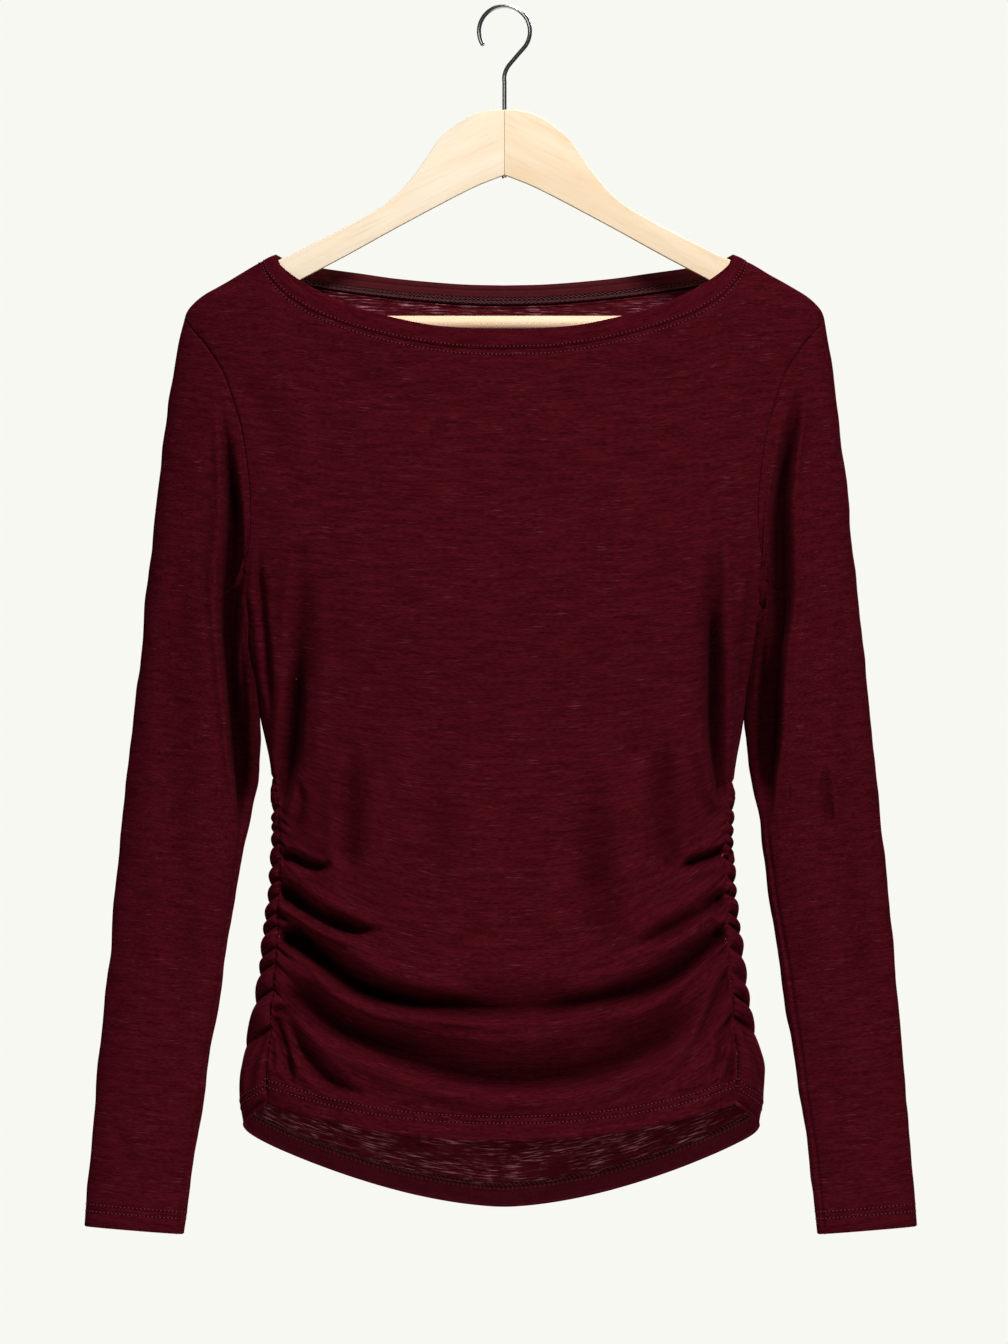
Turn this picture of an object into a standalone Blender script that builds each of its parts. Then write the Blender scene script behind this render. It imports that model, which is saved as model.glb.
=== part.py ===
"""Boat neck top with gathered side seams, hanging on a wooden hanger.

The top is one outer skin, drawn from its sections: at each height the skin has a half
width to the left and right, a front depth and a back depth. Each cut piece is a region of
that skin, with its edges pulled back from the seams and its cloth laid on the inside.

Left and right are as seen from the front. X points right, Y points to the back and Z up.
"Down" is the distance below the origin, which is the inner top of the hanger's hook.
Sizes in this file are millimetres until the meshes are made in metres.
"""
import math
from collections import namedtuple

import bmesh
import bpy
from mathutils import Vector

MM = 0.001
LEFT = -1
RIGHT = 1

# Cloth
PANEL_THICKNESS = 1.2
BAND_THICKNESS = 1.6
SEAM_GAP = 0.36
PLAN_POWER = 2.4          # roundness of a section seen from above

# Levels, as distances down
NECK_POINT = 169.3        # where the shoulder seam meets the neckband
SHOULDER_POINT = 207.0    # where the shoulder seam meets the armhole
UNDERARM = 392.7

# Grid of a panel: columns from a side to the middle, and rows in each stretch
HALF_COLUMNS = 10
SHOULDER_COLUMNS = 3
ARMHOLE_TURN = 20.0       # degrees of the armhole loop between its rows
END_TURN = 9.0            # and beside the shoulder and the underarm
WAIST_ROWS = 5
COLUMN_CROWDING = 1.6     # above 1, columns crowd towards the side seam
FRONT_HANG_POWER = 2.2
BACK_HANG_POWER = 1.7
NECK_CROWDING = 2.0       # above 1, columns crowd towards the shoulder
GATHER_PHASES = (0.0, 0.3, 0.7)
LAST_GATHER_PHASES = (0.0, 0.12, 0.3, 0.5, 0.75)
GATHER_SHARPNESS = 0.6
GATHER_REACH = 26.0
SWAG_END_FADE = 0.22      # share of the half width over which a swag starts and ends
SWAG_SEAM_FADE = 12       # above 1, a swag reaches closer to the side seam
SLEEVE_ROUNDNESS = 0.9    # below 1, a sleeve's section is fuller than an ellipse
SLEEVE_FOLD_START = 0.2
SLEEVE_FOLD_END = 0.93
SLEEVE_FOLD_FADE = 0.1
SHARP_ANGLE = 60.0        # degrees between faces that are shaded apart

# Hanger
WOOD_THICKNESS = 11.0
WOOD_ROUNDING = 3.0
WOOD_JOINT_GAP = 0.3
CLOTH_TO_WOOD = 2.2       # at the ridge; it is less where the wood's edge is rounded
WOOD_BACK_FROM_SIDE = 1.5
WOOD_TOP_POINTS = 24
WOOD_BOTTOM_POINTS = 6
BORE_SIDES = 16
WIRE_RADIUS = 1.4
WIRE_CLEARANCE = 0.3
HOOK_RADIUS = 17.0        # of the wire's centre line
HOOK_END_ANGLE = 212.0
HOOK_START_ANGLE = -37.0
HOOK_RUNS = 15
WIRE_SIDES = 8
WIRE_END = 0.6            # the wire's radius at its ends, as a share
BAR_RADIUS = 4.8
BAR_SIDES = 20
BAR_TENON_RADIUS = 3.0
BAR_TENON_CLEARANCE = 0.3
BAR_TENON_LENGTH = 8.0
BAR_DOWN = 210.0
BAR_HALF_LENGTH = 180.0

# Half widths of the skin. Above the underarm the section runs on under the sleeve.
Width = namedtuple("Width", "down left right")
WIDTHS = (
    Width(160.0, 145.0, 145.0),
    Width(164.3, 152.3, 152.3),
    Width(169.3, 162.3, 162.3),
    Width(177.0, 175.5, 175.5),
    Width(184.7, 189.0, 189.0),
    Width(192.0, 201.5, 201.5),
    Width(200.0, 210.0, 210.0),
    Width(207.0, 213.2, 213.2),
    Width(220.0, 214.8, 214.8),
    Width(262.0, 215.0, 215.0),
    Width(300.0, 213.0, 213.0),
    Width(328.0, 209.0, 209.0),
    Width(354.7, 203.0, 203.0),
    Width(368.0, 197.0, 197.0),
    Width(378.0, 191.0, 191.0),
    Width(388.0, 185.6, 185.6),
    Width(392.7, 183.7, 183.7),
    Width(408.0, 178.0, 177.3),
    Width(424.7, 173.0, 171.0),
    Width(454.7, 165.5, 162.5),
    Width(474.7, 162.5, 159.5),
    Width(488.0, 159.5, 157.3),
    Width(501.3, 156.8, 154.8),
    Width(514.7, 155.3, 153.0),
    Width(535.0, 154.4, 152.6),
    Width(560.0, 154.2, 152.0),
    Width(580.0, 155.4, 153.0),
    Width(600.0, 157.4, 154.6),
    Width(620.0, 160.0, 157.4),
    Width(640.0, 162.8, 160.2),
    Width(660.0, 166.0, 163.0),
    Width(680.0, 169.4, 166.6),
    Width(700.0, 173.4, 170.6),
    Width(728.0, 175.6, 171.6),
    Width(740.0, 174.4, 170.0),
    Width(800.0, 170.0, 166.0),
)

# Depths of the skin at the middle, in front of and behind the hanger's plane
Depth = namedtuple("Depth", "down front back")
DEPTHS = (
    Depth(160.0, 24.0, 23.0),
    Depth(185.0, 28.0, 25.0),
    Depth(215.0, 34.0, 28.0),
    Depth(300.0, 46.0, 35.0),
    Depth(393.0, 54.0, 41.0),
    Depth(480.0, 50.0, 38.0),
    Depth(560.0, 52.0, 40.0),
    Depth(650.0, 55.0, 43.0),
    Depth(728.0, 53.0, 45.0),
    Depth(800.0, 51.0, 46.0),
)

# How far the side seam lies inside the outline, on the front
Inset = namedtuple("Inset", "down inset")
SEAM_INSETS = (
    Inset(392.7, 0.0),
    Inset(440.0, 0.0),
    Inset(500.0, 0.9),
    Inset(531.0, 3.6),
    Inset(595.0, 6.5),
    Inset(621.0, 9.0),
    Inset(661.0, 11.5),
    Inset(701.0, 16.0),
    Inset(728.0, 17.5),
)

# Armhole seams, on the front and on the back
Armhole = namedtuple("Armhole", "down front back")
ARMHOLE = (
    Armhole(207.0, 213.2, 213.2),
    Armhole(214.0, 208.5, 210.0),
    Armhole(224.7, 199.7, 204.0),
    Armhole(241.3, 188.5, 195.5),
    Armhole(258.0, 182.0, 189.5),
    Armhole(281.3, 175.0, 183.0),
    Armhole(304.7, 171.3, 178.5),
    Armhole(328.0, 169.0, 176.0),
    Armhole(354.7, 169.7, 176.0),
    Armhole(368.0, 172.0, 177.5),
    Armhole(378.0, 175.5, 179.5),
    Armhole(388.0, 181.0, 182.3),
    Armhole(392.7, 183.7, 183.7),
)

# Neckline: how far down the seam and the free edge run, front and back, at each width
Neck = namedtuple("Neck", "across down")
FRONT_NECK_SEAM = (
    Neck(162.3, 169.3), Neck(157.7, 178.7), Neck(149.7, 188.0), Neck(138.3, 197.0),
    Neck(116.3, 207.0), Neck(77.7, 217.7), Neck(36.3, 225.0), Neck(0.0, 226.8),
)
FRONT_NECK_EDGE = (
    Neck(152.3, 164.3), Neck(149.5, 171.8), Neck(136.0, 182.4), Neck(116.3, 192.5),
    Neck(96.3, 200.2), Neck(57.0, 209.7), Neck(30.0, 213.4), Neck(0.0, 214.5),
)
BACK_NECK_SEAM = (
    Neck(162.3, 169.3), Neck(156.0, 177.5), Neck(140.0, 184.0), Neck(110.0, 189.0),
    Neck(70.0, 194.2), Neck(30.0, 197.6), Neck(0.0, 198.4),
)
BACK_NECK_EDGE = (
    Neck(152.3, 164.3), Neck(145.0, 167.8), Neck(126.0, 172.6), Neck(96.3, 176.9),
    Neck(69.7, 180.6), Neck(30.0, 184.0), Neck(0.0, 184.8),
)

# How far down each row of cloth hangs: at the side seam, and at the two middles
Hang = namedtuple("Hang", "seam front back")
HANGS = (
    Hang(392.7, 404.0, 398.0),
    Hang(450.0, 474.0, 462.0),
    Hang(515.0, 560.0, 541.0),
    Hang(568.0, 620.0, 606.0),
    Hang(618.0, 669.0, 664.0),
    Hang(635.0, 692.0, 686.0),
    Hang(652.7, 713.0, 708.0),
    Hang(679.3, 732.5, 738.0),
    Hang(700.0, 742.0, 764.0),
    Hang(728.0, 752.7, 800.0),
)

# Gathers along the side seams: where each starts, and how far it stands out
Gather = namedtuple("Gather", "left right rise")
GATHERS = (
    Gather(512.0, 514.7, 1.2),
    Gather(533.3, 532.0, 1.0),
    Gather(539.3, 541.3, 0.8),
    Gather(545.3, 548.7, 1.0),
    Gather(554.7, 556.0, 1.3),
    Gather(568.0, 566.0, 1.7),
    Gather(579.3, 578.0, 1.6),
    Gather(590.7, 588.0, 1.8),
    Gather(602.0, 601.3, 1.5),
    Gather(610.7, 609.3, 2.2),
    Gather(625.3, 624.0, 2.2),
    Gather(635.3, 641.3, 2.4),
    Gather(652.7, 656.0, 3.2),
    Gather(679.3, 670.7, 3.8),
)
HEM_AT_SEAM = 728.0

# Swags across a panel. A swag follows the row of cloth that leaves the side seam at
# `seam` and is `shift` lower at the middle. It is deepest between `start` and `end`,
# from -1 at the left seam to 1 at the right seam; a depth below 0 is a ridge.
Swag = namedtuple("Swag", "seam shift depth width start end")
FRONT_SWAGS = (
    Swag(592.0, 0.0, 4.0, 7.0, -0.98, -0.62),
    Swag(619.0, 0.0, 6.0, 7.5, -0.96, 0.96),
    Swag(634.0, 0.0, -2.5, 7.0, -0.90, 0.80),
    Swag(650.0, 1.0, 4.5, 8.0, -0.90, 0.55),
    Swag(600.0, 0.0, 3.5, 7.0, 0.60, 0.98),
    Swag(572.0, 0.0, 2.5, 7.0, 0.68, 0.98),
    Swag(676.0, 0.0, 3.0, 7.0, -0.98, -0.70),
    Swag(664.0, 0.0, 3.0, 8.0, 0.62, 0.98),
)
BACK_SWAGS = (
    Swag(584.0, 0.0, 3.5, 7.0, -0.95, -0.45),
    Swag(606.0, 0.0, 4.5, 8.0, -0.30, 0.95),
    Swag(632.0, 0.0, 5.5, 8.0, -0.95, 0.90),
    Swag(660.0, 0.0, 4.0, 9.0, -0.60, 0.70),
    Swag(688.0, 0.0, 3.0, 9.0, 0.30, 0.92),
)

# Upright folds: a trough through (across, down) points, with its depth and half width
Fold = namedtuple("Fold", "side depth width route")
FRONT_FOLDS = (
    Fold(LEFT, 5.0, 10.0, ((137.0, 372.0), (137.0, 430.0), (141.0, 485.0), (150.0, 532.0))),
    Fold(RIGHT, 5.0, 10.0, ((145.0, 345.0), (139.0, 410.0), (138.0, 480.0), (147.0, 536.0))),
    Fold(RIGHT, 3.5, 12.0, ((57.0, 515.0), (62.0, 570.0), (70.0, 630.0), (84.0, 650.0))),
    Fold(LEFT, 2.5, 12.0, ((104.0, 505.0), (104.0, 540.0), (101.0, 580.0))),
)
BACK_FOLDS = (
    Fold(LEFT, 4.5, 12.0, ((120.0, 330.0), (124.0, 410.0), (126.0, 480.0), (136.0, 530.0))),
    Fold(RIGHT, 5.0, 12.0, ((112.0, 320.0), (118.0, 400.0), (124.0, 470.0), (134.0, 525.0))),
    Fold(RIGHT, 3.0, 14.0, ((40.0, 480.0), (44.0, 560.0), (50.0, 630.0))),
)
FOLD_END_FADE = 45.0

# Sleeves: half distances from the middle to the outer and inner edge
Arm = namedtuple("Arm", "down left_outer left_inner right_outer right_inner")
ARMS = (
    Arm(207.0, 213.2, 213.2, 213.2, 213.2),
    Arm(220.0, 216.5, 213.0, 215.5, 213.0),
    Arm(234.7, 219.7, 211.0, 217.7, 211.0),
    Arm(288.0, 227.0, 203.0, 224.7, 203.0),
    Arm(341.3, 233.7, 194.0, 230.3, 194.0),
    Arm(392.7, 239.0, 184.4, 236.3, 184.4),
    Arm(408.0, 240.5, 179.8, 237.5, 179.1),
    Arm(424.7, 242.3, 174.9, 239.0, 173.0),
    Arm(454.7, 245.7, 167.4, 241.7, 164.4),
    Arm(474.7, 247.7, 164.9, 244.3, 162.0),
    Arm(488.0, 249.0, 164.9, 245.7, 163.5),
    Arm(514.7, 251.9, 167.3, 248.3, 166.7),
    Arm(554.7, 256.3, 173.0, 252.3, 171.3),
    Arm(608.0, 261.7, 181.7, 257.7, 178.3),
    Arm(661.3, 266.3, 190.3, 262.3, 187.0),
    Arm(714.7, 271.7, 199.0, 267.0, 195.0),
    Arm(768.0, 276.3, 207.0, 271.7, 203.0),
    Arm(818.0, 280.6, 213.8, 275.6, 208.6),
)
CUFF_OUTER_DOWN = 811.3
CUFF_INNER_DOWN = 816.7
SLEEVE_RINGS = 20
SLEEVE_BLEND = 0.42       # share of the length in which the armhole's shape dies out
SLEEVE_RELEASE = 2.6      # how fast it dies out
UNDERARM_RELEASE = 4.0    # it dies out sooner under the arm

# Half depths of a sleeve, by the share of its length from the armhole
ArmDepth = namedtuple("ArmDepth", "share front back")
ARM_DEPTHS = (
    ArmDepth(0.0, 31.0, 26.0),
    ArmDepth(0.15, 29.0, 25.0),
    ArmDepth(0.35, 23.0, 21.0),
    ArmDepth(0.6, 17.0, 16.0),
    ArmDepth(0.85, 13.5, 13.5),
    ArmDepth(1.0, 12.8, 12.8),
)

# Folds of a sleeve: a trough through (share of its length, degrees around it) points. The
# degrees run from the outer edge over the front.
SleeveFold = namedtuple("SleeveFold", "depth width route")
LEFT_SLEEVE_FOLDS = (
    SleeveFold(3.0, 10.0, ((0.055, 50.0), (0.055, 90.0), (0.10, 118.0), (0.22, 128.0), (0.40, 134.0))),
    SleeveFold(2.0, 12.0, ((0.24, 76.0), (0.50, 70.0), (0.80, 84.0))),
    SleeveFold(2.4, 12.0, ((0.12, 262.0), (0.25, 240.0), (0.42, 232.0))),
    SleeveFold(1.6, 12.0, ((0.42, 286.0), (0.68, 292.0), (0.92, 280.0))),
)
RIGHT_SLEEVE_FOLDS = (
    SleeveFold(4.5, 9.0, ((0.07, 60.0), (0.08, 100.0), (0.14, 124.0), (0.25, 134.0), (0.44, 138.0))),
    SleeveFold(2.0, 12.0, ((0.36, 66.0), (0.55, 72.0), (0.74, 62.0))),
    SleeveFold(3.5, 12.0, ((0.10, 256.0), (0.24, 236.0), (0.38, 230.0))),
    SleeveFold(2.5, 12.0, ((0.32, 290.0), (0.58, 280.0), (0.86, 288.0))),
)
SLEEVE_LENGTH = 610.0
SLEEVE_RADIUS = 33.0

# Outline of a wooden half, seen from the front, from the joint outwards
Wood = namedtuple("Wood", "across down")
WOOD_TOP = (
    Wood(0.0, 68.0), Wood(10.0, 68.4), Wood(22.0, 71.6), Wood(34.0, 79.3), Wood(43.5, 87.5),
    Wood(50.0, 96.8), Wood(57.5, 108.0), Wood(69.7, 122.5), Wood(83.0, 133.2),
    Wood(103.0, 144.8), Wood(129.7, 158.2), Wood(143.0, 165.0), Wood(152.3, 169.2),
)
WOOD_BOTTOM = (
    Wood(0.0, 111.5), Wood(23.0, 120.9), Wood(69.7, 145.4), Wood(103.0, 163.8),
    Wood(136.3, 181.4), Wood(168.0, 198.2), Wood(176.0, 202.8),
)
BOSS_INNER = 180.6
BOSS_OUTER = 196.0
BOSS_BOTTOM = 217.0
TIP_ACROSS = 205.0
TIP_DOWN = 208.0


# ---------------------------------------------------------------- curves and tables

def table_value(rows, column, at):
    """Read a column at a place along the first column, on a smooth curve."""
    places = [row[0] for row in rows]
    values = [getattr(row, column) for row in rows]
    if at <= places[0]:
        return values[0]
    if at >= places[-1]:
        return values[-1]
    k = max(i for i, place in enumerate(places) if place <= at)
    slopes = []
    for i in (k, k + 1):
        low = max(i - 1, 0)
        high = min(i + 1, len(rows) - 1)
        slopes.append((values[high] - values[low]) / (places[high] - places[low]))
    span = places[k + 1] - places[k]
    t = (at - places[k]) / span
    return ((2 * t ** 3 - 3 * t ** 2 + 1) * values[k] + (t ** 3 - 2 * t ** 2 + t) * span * slopes[0]
            + (3 * t ** 2 - 2 * t ** 3) * values[k + 1] + (t ** 3 - t ** 2) * span * slopes[1])


def smooth_path(points, steps=12):
    """A Catmull-Rom curve through the points, as many short runs."""
    points = [Vector(p) for p in points]
    first = points[0] * 2 - points[1]
    last = points[-1] * 2 - points[-2]
    ends = [first] + points + [last]
    path = []
    for a, b, c, d in zip(ends, ends[1:], ends[2:], ends[3:]):
        for step in range(steps):
            t = step / steps
            path.append(0.5 * ((2 * b) + (c - a) * t + (2 * a - 5 * b + 4 * c - d) * t ** 2
                               + (3 * b - a - 3 * c + d) * t ** 3))
    path.append(points[-1])
    return path


def points_along(path, shares):
    """Points at the given shares of a path's length."""
    lengths = [0.0]
    for a, b in zip(path, path[1:]):
        lengths.append(lengths[-1] + (b - a).length)
    found = []
    for share in shares:
        goal = share * lengths[-1]
        k = max(i for i, length in enumerate(lengths[:-1]) if length <= goal + 1e-9)
        run = lengths[k + 1] - lengths[k]
        found.append(path[k].lerp(path[k + 1], min((goal - lengths[k]) / run, 1.0)))
    return found


def bell(distance, width):
    return math.exp(-(distance / width) ** 2)


def fade(value, start, end, soft):
    """1 between start and end, falling smoothly to 0 over `soft` on each side."""
    inside = min((value - start) / soft, (end - value) / soft) + 1.0
    inside = max(0.0, min(1.0, inside))
    return inside * inside * (3 - 2 * inside)


# ---------------------------------------------------------------- the outer skin

def half_width(side, down):
    return table_value(WIDTHS, "left" if side == LEFT else "right", down)


def front_depth(down):
    return table_value(DEPTHS, "front", down)


def back_depth(down):
    return table_value(DEPTHS, "back", down)


def skin_point(side, down, angle):
    """A point of a section: 0 is the front middle, 90 the outline and 180 the back middle."""
    turn = math.radians(angle)
    across = half_width(side, down) * abs(math.sin(turn)) ** (2 / PLAN_POWER)
    depth = front_depth(down) if angle < 90 else back_depth(down)
    return Vector((side * across, -depth * math.cos(turn), -down))


def skin_over(across, down, front):
    """The skin's point at a place seen from the front, on its front or its back."""
    side = LEFT if across < 0 else RIGHT
    share = min(abs(across) / half_width(side, down), 1.0)
    depth = -front_depth(down) if front else back_depth(down)
    return Vector((across, depth * math.sqrt(1 - share ** PLAN_POWER), -down))


def seam_angle(side, down):
    """Where the side seam lies in a section."""
    share = 1 - table_value(SEAM_INSETS, "inset", down) / half_width(side, down)
    return math.degrees(math.asin(min(1.0, share ** (PLAN_POWER / 2))))


def column_shares():
    return [(i / HALF_COLUMNS) ** COLUMN_CROWDING for i in range(HALF_COLUMNS + 1)]


def seam_rows():
    """The heights at which rows leave the side seam, as (left, right, gather, phase)."""
    rows = []
    for i in range(WAIST_ROWS):
        t = i / WAIST_ROWS
        left = UNDERARM + (GATHERS[0].left - UNDERARM) * t
        right = UNDERARM + (GATHERS[0].right - UNDERARM) * t
        rows.append((left, right, None, 0.0))
    for gather, below in zip(GATHERS, GATHERS[1:] + (None,)):
        left_end = below.left if below else HEM_AT_SEAM
        right_end = below.right if below else HEM_AT_SEAM
        for phase in (GATHER_PHASES if below else LAST_GATHER_PHASES):
            left = gather.left + (left_end - gather.left) * phase
            right = gather.right + (right_end - gather.right) * phase
            rows.append((left, right, gather, phase))
    rows.append((HEM_AT_SEAM, HEM_AT_SEAM, None, 0.0))
    return rows


def lower_half_row(side, seam_down, front):
    """Points of one row below the underarm, from the side seam to the middle."""
    shares = column_shares()
    start = seam_angle(side, seam_down)
    end = 0.0 if front else 180.0
    turns = [start + (end - start) * k / 60 for k in range(61)]
    path = [skin_point(side, seam_down, turn) for turn in turns]
    marks = [Vector((turn, 0.0, 0.0)) for turn in turns]
    lengths = [0.0]
    for a, b in zip(path, path[1:]):
        lengths.append(lengths[-1] + (b - a).length)
    middle = table_value(HANGS, "front" if front else "back", seam_down)
    power = FRONT_HANG_POWER if front else BACK_HANG_POWER
    row = []
    for share in shares:
        goal = share * lengths[-1]
        k = max(i for i, length in enumerate(lengths[:-1]) if length <= goal + 1e-9)
        t = min((goal - lengths[k]) / (lengths[k + 1] - lengths[k]), 1.0)
        angle = marks[k].lerp(marks[k + 1], t).x
        down = seam_down + (middle - seam_down) * (1 - (1 - share) ** power)
        row.append(skin_point(side, down, angle))
    return row


def shoulder_levels():
    """Heights of the shoulder seam's points, from the armhole to the neck."""
    drop = (NECK_POINT - SHOULDER_POINT) / SHOULDER_COLUMNS
    return [SHOULDER_POINT + drop * i for i in range(SHOULDER_COLUMNS + 1)]


def top_half_row(side, front):
    """Points of the shoulder seam and the neck seam, from the armhole to the middle."""
    row = []
    for down in shoulder_levels()[:-1]:
        row.append(Vector((side * half_width(side, down), 0.0, -down)))
    count = HALF_COLUMNS - SHOULDER_COLUMNS
    row += neck_line(FRONT_NECK_SEAM if front else BACK_NECK_SEAM, side, front, count)
    return row


def neck_line(rows, side, front, count):
    """Points along a neck seam or edge, from the shoulder to the middle."""
    path = smooth_path([(side * row.across, 0.0, -row.down) for row in rows])
    line = points_along(path, [(i / count) ** NECK_CROWDING for i in range(count + 1)])
    points = [skin_over(point.x, -point.z, front) for point in line]
    points[0].y = 0.0
    points[-1].x = 0.0
    return points


def armhole_turns():
    """Angles of the armhole's rows, from 180 at the underarm to 0 at the shoulder."""
    count = int(180.0 / ARMHOLE_TURN)
    turns = [180.0 - ARMHOLE_TURN * k for k in range(1, count)]
    return [180.0, 180.0 - END_TURN] + turns + [END_TURN, 0.0]


def upper_half_rows(side, front):
    """Rows between the underarm and the top edge, each from the armhole to the middle."""
    under = lower_half_row(side, UNDERARM, front)
    top = top_half_row(side, front)
    rows = []
    for turn in armhole_turns()[1:-1]:
        share = (1 + math.cos(math.radians(turn))) / 2
        down = UNDERARM + (SHOULDER_POINT - UNDERARM) * share
        armhole = side * table_value(ARMHOLE, "front" if front else "back", down)
        squeeze = armhole / (under[0].x + (top[0].x - under[0].x) * share)
        row = []
        for low, high in zip(under, top):
            between = low.lerp(high, share)
            row.append(skin_over(between.x * squeeze, -between.z, front))
        rows.append(row)
    rows.append(top)
    return rows


# ---------------------------------------------------------------- gathers, swags, folds

def gather_rise(gather, phase, distance):
    """How far a gather stands out, at a distance from the side seam."""
    if gather is None:
        return 0.0
    bump = math.sin(math.pi * phase) ** GATHER_SHARPNESS
    return gather.rise * (bump - 0.5) * math.exp(-distance / GATHER_REACH)


def swag_depth(swags, seam_down, place):
    """Depth of the swags on the row that leaves the seam at a height, at -1 to 1 across."""
    total = 0.0
    for swag in swags:
        centre = swag.seam + swag.shift * (1 - abs(place))
        reach = fade(place, swag.start, swag.end, SWAG_END_FADE)
        reach *= min(1.0, (1 - abs(place)) * SWAG_SEAM_FADE)
        total += swag.depth * bell(seam_down - centre, swag.width) * reach
    return total


def fold_depth(folds, point):
    """Depth of the upright folds at a point of the skin."""
    total = 0.0
    for fold in folds:
        downs = [place[1] for place in fold.route]
        down = -point.z
        if point.x * fold.side <= 0:
            continue
        reach = fade(down, downs[0] + FOLD_END_FADE, downs[-1] - FOLD_END_FADE, FOLD_END_FADE)
        if reach == 0.0:
            continue
        route = fold.route
        k = max(i for i in range(len(route) - 1) if downs[i] <= max(down, downs[0]))
        t = (down - downs[k]) / (downs[k + 1] - downs[k])
        across = route[k][0] + (route[k + 1][0] - route[k][0]) * t
        total += fold.depth * reach * bell(point.x * fold.side - across, fold.width)
    return total


def sleeve_fold_depth(folds, share, turn):
    """Depth of a sleeve's folds at a share of its length and an angle around it."""
    place = Vector((share * SLEEVE_LENGTH, math.radians(turn) * SLEEVE_RADIUS))
    total = 0.0
    for fold in folds:
        route = [Vector((s * SLEEVE_LENGTH, math.radians(t) * SLEEVE_RADIUS)) for s, t in fold.route]
        nearest = min(run_distance(place, a, b) for a, b in zip(route, route[1:]))
        total += fold.depth * bell(nearest, fold.width)
    return total * fade(share, SLEEVE_FOLD_START, SLEEVE_FOLD_END, SLEEVE_FOLD_FADE)


def run_distance(place, start, end):
    """Distance from a place to a straight run."""
    along = end - start
    t = max(0.0, min(1.0, (place - start).dot(along) / along.length_squared))
    return (place - start - along * t).length


# ---------------------------------------------------------------- grids and normals

def base_grid(front):
    """A panel's rows from hem to top, each from the left edge to the right, with no folds."""
    grid = []
    for left_down, right_down, _, _ in reversed(seam_rows()):
        left = lower_half_row(LEFT, left_down, front)
        grid.append(left + lower_half_row(RIGHT, right_down, front)[-2::-1])
    for left, right in zip(upper_half_rows(LEFT, front), upper_half_rows(RIGHT, front)):
        grid.append(left + right[-2::-1])
    for row in grid:
        row[HALF_COLUMNS].x = 0.0
    return grid


def folded_grid(grid, normals, front):
    """The grid with its gathers, swags and upright folds."""
    swags = FRONT_SWAGS if front else BACK_SWAGS
    folds = FRONT_FOLDS if front else BACK_FOLDS
    rows = seam_rows()[::-1]
    moved = []
    for j, row in enumerate(grid):
        moved_row = []
        for i, point in enumerate(row):
            push = -fold_depth(folds, point)
            if j < len(rows):
                left_down, right_down, gather, phase = rows[j]
                step = (i - HALF_COLUMNS) / HALF_COLUMNS
                place = math.copysign(1 - (1 - abs(step)) ** COLUMN_CROWDING, step)
                near = row[0] if step < 0 else row[-1]
                push += gather_rise(gather, phase, (point - near).length)
                push -= swag_depth(swags, left_down if step < 0 else right_down, place)
            moved_row.append(point + normals[j][i] * push)
        moved.append(moved_row)
    return moved


def panel_normals(front, back):
    """Normals of both panels, shared along the side seams and the shoulder seams."""
    front_normals = grid_normals(front, ring=False)
    back_normals = [[-n for n in row] for row in grid_normals(back, ring=False)]
    last = len(front[0]) - 1
    shared = [(j, i) for j in range(underarm_row(front) + 1) for i in (0, last)]
    for i in range(SHOULDER_COLUMNS + 1):
        shared += [(-1, i), (-1, last - i)]
    for j, i in shared:
        front_normals[j][i], back_normals[j][i] = blend_normals(
            front_normals[j][i], back_normals[j][i])
    return front_normals, back_normals


def grid_normals(grid, ring):
    """Unit normals of a grid of points, pointing out of the garment."""
    rows = len(grid)
    columns = len(grid[0])
    normals = []
    for j in range(rows):
        above = grid[min(j + 1, rows - 1)]
        below = grid[max(j - 1, 0)]
        row = []
        for i in range(columns):
            after = (i + 1) % columns if ring else min(i + 1, columns - 1)
            before = (i - 1) % columns if ring else max(i - 1, 0)
            along = grid[j][after] - grid[j][before]
            up = above[i] - below[i]
            row.append(along.cross(up).normalized())
        normals.append(row)
    return normals


def blend_normals(first, second):
    """One normal for both sides of a seam, unless the cloth folds back on itself there."""
    weight = max(0.0, min(1.0, first.dot(second) + 0.5))
    both = (first + second).normalized() if weight > 0 else first
    return (first.lerp(both, weight).normalized(), second.lerp(both, weight).normalized())


def pull_back(point, neighbour, distance):
    """Move an edge point into its own piece."""
    return point + (neighbour - point).normalized() * distance


# ---------------------------------------------------------------- meshes

def material(name, colour, roughness, metallic=0.0):
    made = bpy.data.materials.new(name)
    made.use_nodes = True
    shader = made.node_tree.nodes["Principled BSDF"]
    shader.inputs["Base Color"].default_value = (*colour, 1.0)
    shader.inputs["Roughness"].default_value = roughness
    shader.inputs["Metallic"].default_value = metallic
    made.diffuse_color = (*colour, 1.0)
    return made


def add_object(name, points, faces, finish):
    mesh = bpy.data.meshes.new(name)
    mesh.from_pydata([point * MM for point in points], [], faces)
    mesh.materials.append(finish)
    mesh.shade_smooth()
    mesh.set_sharp_from_angle(angle=math.radians(SHARP_ANGLE))
    made = bpy.data.objects.new(name, mesh)
    bpy.context.scene.collection.objects.link(made)
    return made


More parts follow.
